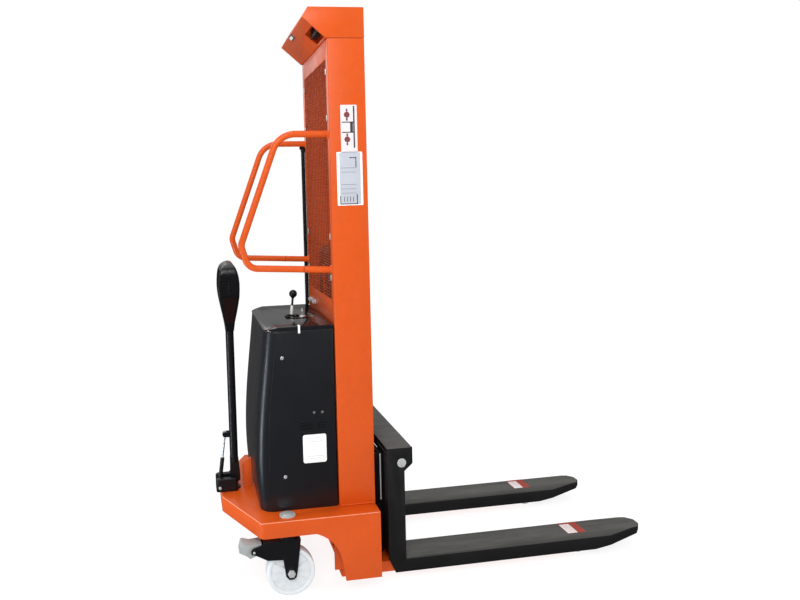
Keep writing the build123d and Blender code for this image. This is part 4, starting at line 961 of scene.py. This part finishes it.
# a slightly thinner copy of the rear strands that rises with the rod inside the fixed ones
bm = bmesh.new()
for y in chain_ys:
    run_into(bm, rear_x, y, rear_low[2] + 0.03, rear_high[2], 0.98)
piece("rising_leaf_chains", bm, "chain", "lift_rod", 30)
# links over the pulleys, left out on the side where the front strands come off
arc = (front_x - rear_x) / 2
bm = bmesh.new()
for y in chain_ys:
    for k in range(1, 8):
        turn = pi * (k + 0.5) / 8
        at = (wheel_mid.x + arc * cos(turn), y, wheel_mid.z + arc * sin(turn))
        for lane in LANES[k % 2]:
            link_into(bm, at, (-sin(turn), 0, cos(turn)), lane)
piece("pulley_chain_wraps", bm, "chain", "lift_rod", 30)

# ------------------------------------------------------------------ fork and carriage details
# plain stickers near the fork tips: a red base, a pale face and three lines
bm = bmesh.new()
for x, y in ((0.804, -0.2220), (0.797, 0.2290)):
    prism_into(bm, (MF + x, y, FORK_TOP + 0.0001), (1, 0, 0), (0, 1, 0), 0.076, 0.090, 0.004, 0.0005)
piece("fork_tip_marks", bm, "red", "carriage", bevel=0.0002)
faces = ((MF + 0.787, -0.2290), (MF + 0.780, 0.2220))
bm = bmesh.new()
for x, y in faces:
    prism_into(bm, (x, y, FORK_TOP + 0.0006), (1, 0, 0), (0, 1, 0), 0.040, 0.074, 0.003, 0.0004)
piece("fork_tip_plates", bm, "paper", "carriage", bevel=0.0001)
bm = bmesh.new()
for x, y in faces:
    for k in (-1, 0, 1):
        at = (x + 0.010 * k, y, FORK_TOP + 0.0010)
        prism_into(bm, at, (1, 0, 0), (0, 1, 0), 0.0022, 0.060, 0.0008, 0.0002)
piece("fork_tip_lines", bm, "rose", "carriage")

# bright wear strips on the carriage side plates
bm = bmesh.new()
for _, side in SIDES:
    prism_into(bm, (MF + 0.0275, side * 0.2430, 0.370), (0, 0, 1), (side, 0, 0), 0.175, 0.0042, 0.001, 0.003)
piece("carriage_wear_strips", bm, "zinc", "carriage", bevel=0.0004)

# ------------------------------------------------------------------ lights and floor
def area(name, place, target, size, power, colour=(1, 1, 1)):
    """A rectangular lamp at place that faces target."""
    light = bpy.data.lights.new(name, "AREA")
    light.shape = "RECTANGLE"
    light.size, light.size_y = size
    light.energy = power
    light.color = colour
    obj = bpy.data.objects.new(name, light)
    bpy.context.collection.objects.link(obj)
    obj.location = place
    obj.rotation_euler = (Vector(target) - Vector(place)).to_track_quat("-Z", "Y").to_euler()
    obj.visible_camera = False


chest = (0, 0, 0.9)  # all the large lamps face this point
area("key", (-1.6, -3.6, 3.4), chest, (2.4, 2.4), 104)
area("fill", (3.4, -3.0, 2.4), chest, (2.4, 2.4), 30)
area("top", (-0.2, 0.3, 4.4), chest, (3.0, 2.4), 46)
area("back", (-1.8, 3.2, 3.0), chest, (2.4, 2.4), 24)
# a narrow strip by the tiller, for the highlight down the cover's rear corner
area("edge", (-1.80, -0.42, 0.42), (-0.55, -0.20, 0.55), (0.20, 0.8), 7.5, (0.76, 0.87, 1.0))

# white behind the object; reflections and bounces see a room that is darker near the floor
world = bpy.data.worlds.new("studio")
bpy.context.scene.world = world
world.use_nodes = True
tree = world.node_tree
shade_node = tree.nodes["Background"]
sky = tree.nodes.new("ShaderNodeTexCoord")
split = tree.nodes.new("ShaderNodeSeparateXYZ")
rise = tree.nodes.new("ShaderNodeMapRange")
rise.inputs["From Min"].default_value = -0.1
rise.inputs["From Max"].default_value = 0.7
rise.inputs["To Min"].default_value = 0.10
rise.inputs["To Max"].default_value = 0.70
seen = tree.nodes.new("ShaderNodeLightPath")
choose = tree.nodes.new("ShaderNodeMix")
choose.inputs["B"].default_value = 1.0
tree.links.new(sky.outputs["Generated"], split.inputs["Vector"])
tree.links.new(split.outputs["Z"], rise.inputs["Value"])
tree.links.new(rise.outputs["Result"], choose.inputs["A"])
tree.links.new(seen.outputs["Is Camera Ray"], choose.inputs["Factor"])
tree.links.new(choose.outputs["Result"], shade_node.inputs["Strength"])
shade_node.inputs["Color"].default_value = (1, 1, 1, 1)

# floor, just under the wheels
floor_half = 40
bm = bmesh.new()
bmesh.ops.create_grid(bm, x_segments=8, y_segments=8, size=floor_half)
floor_mesh = bpy.data.meshes.new("floor")
bm.to_mesh(floor_mesh)
bm.free()
floor = bpy.data.objects.new("floor", floor_mesh)
bpy.context.collection.objects.link(floor)
floor.location = (0, 0, -0.0005)
g = Graph("floor_paper", spec=0.1)
g.shader.inputs["Emission Color"].default_value = (1, 1, 1, 1)
g.shader.inputs["Emission Strength"].default_value = 0.86
floor_mesh.materials.append(g.done(
    g.ramp(g.noise(2, 3), [(0.3, (0.20, 0.20, 0.20)), (0.7, (0.21, 0.21, 0.21))]),
    g.span(g.noise(8, 3), 0.7, 0.85),
))
floor.visible_glossy = False

bpy.context.scene.view_settings.view_transform = "Standard"
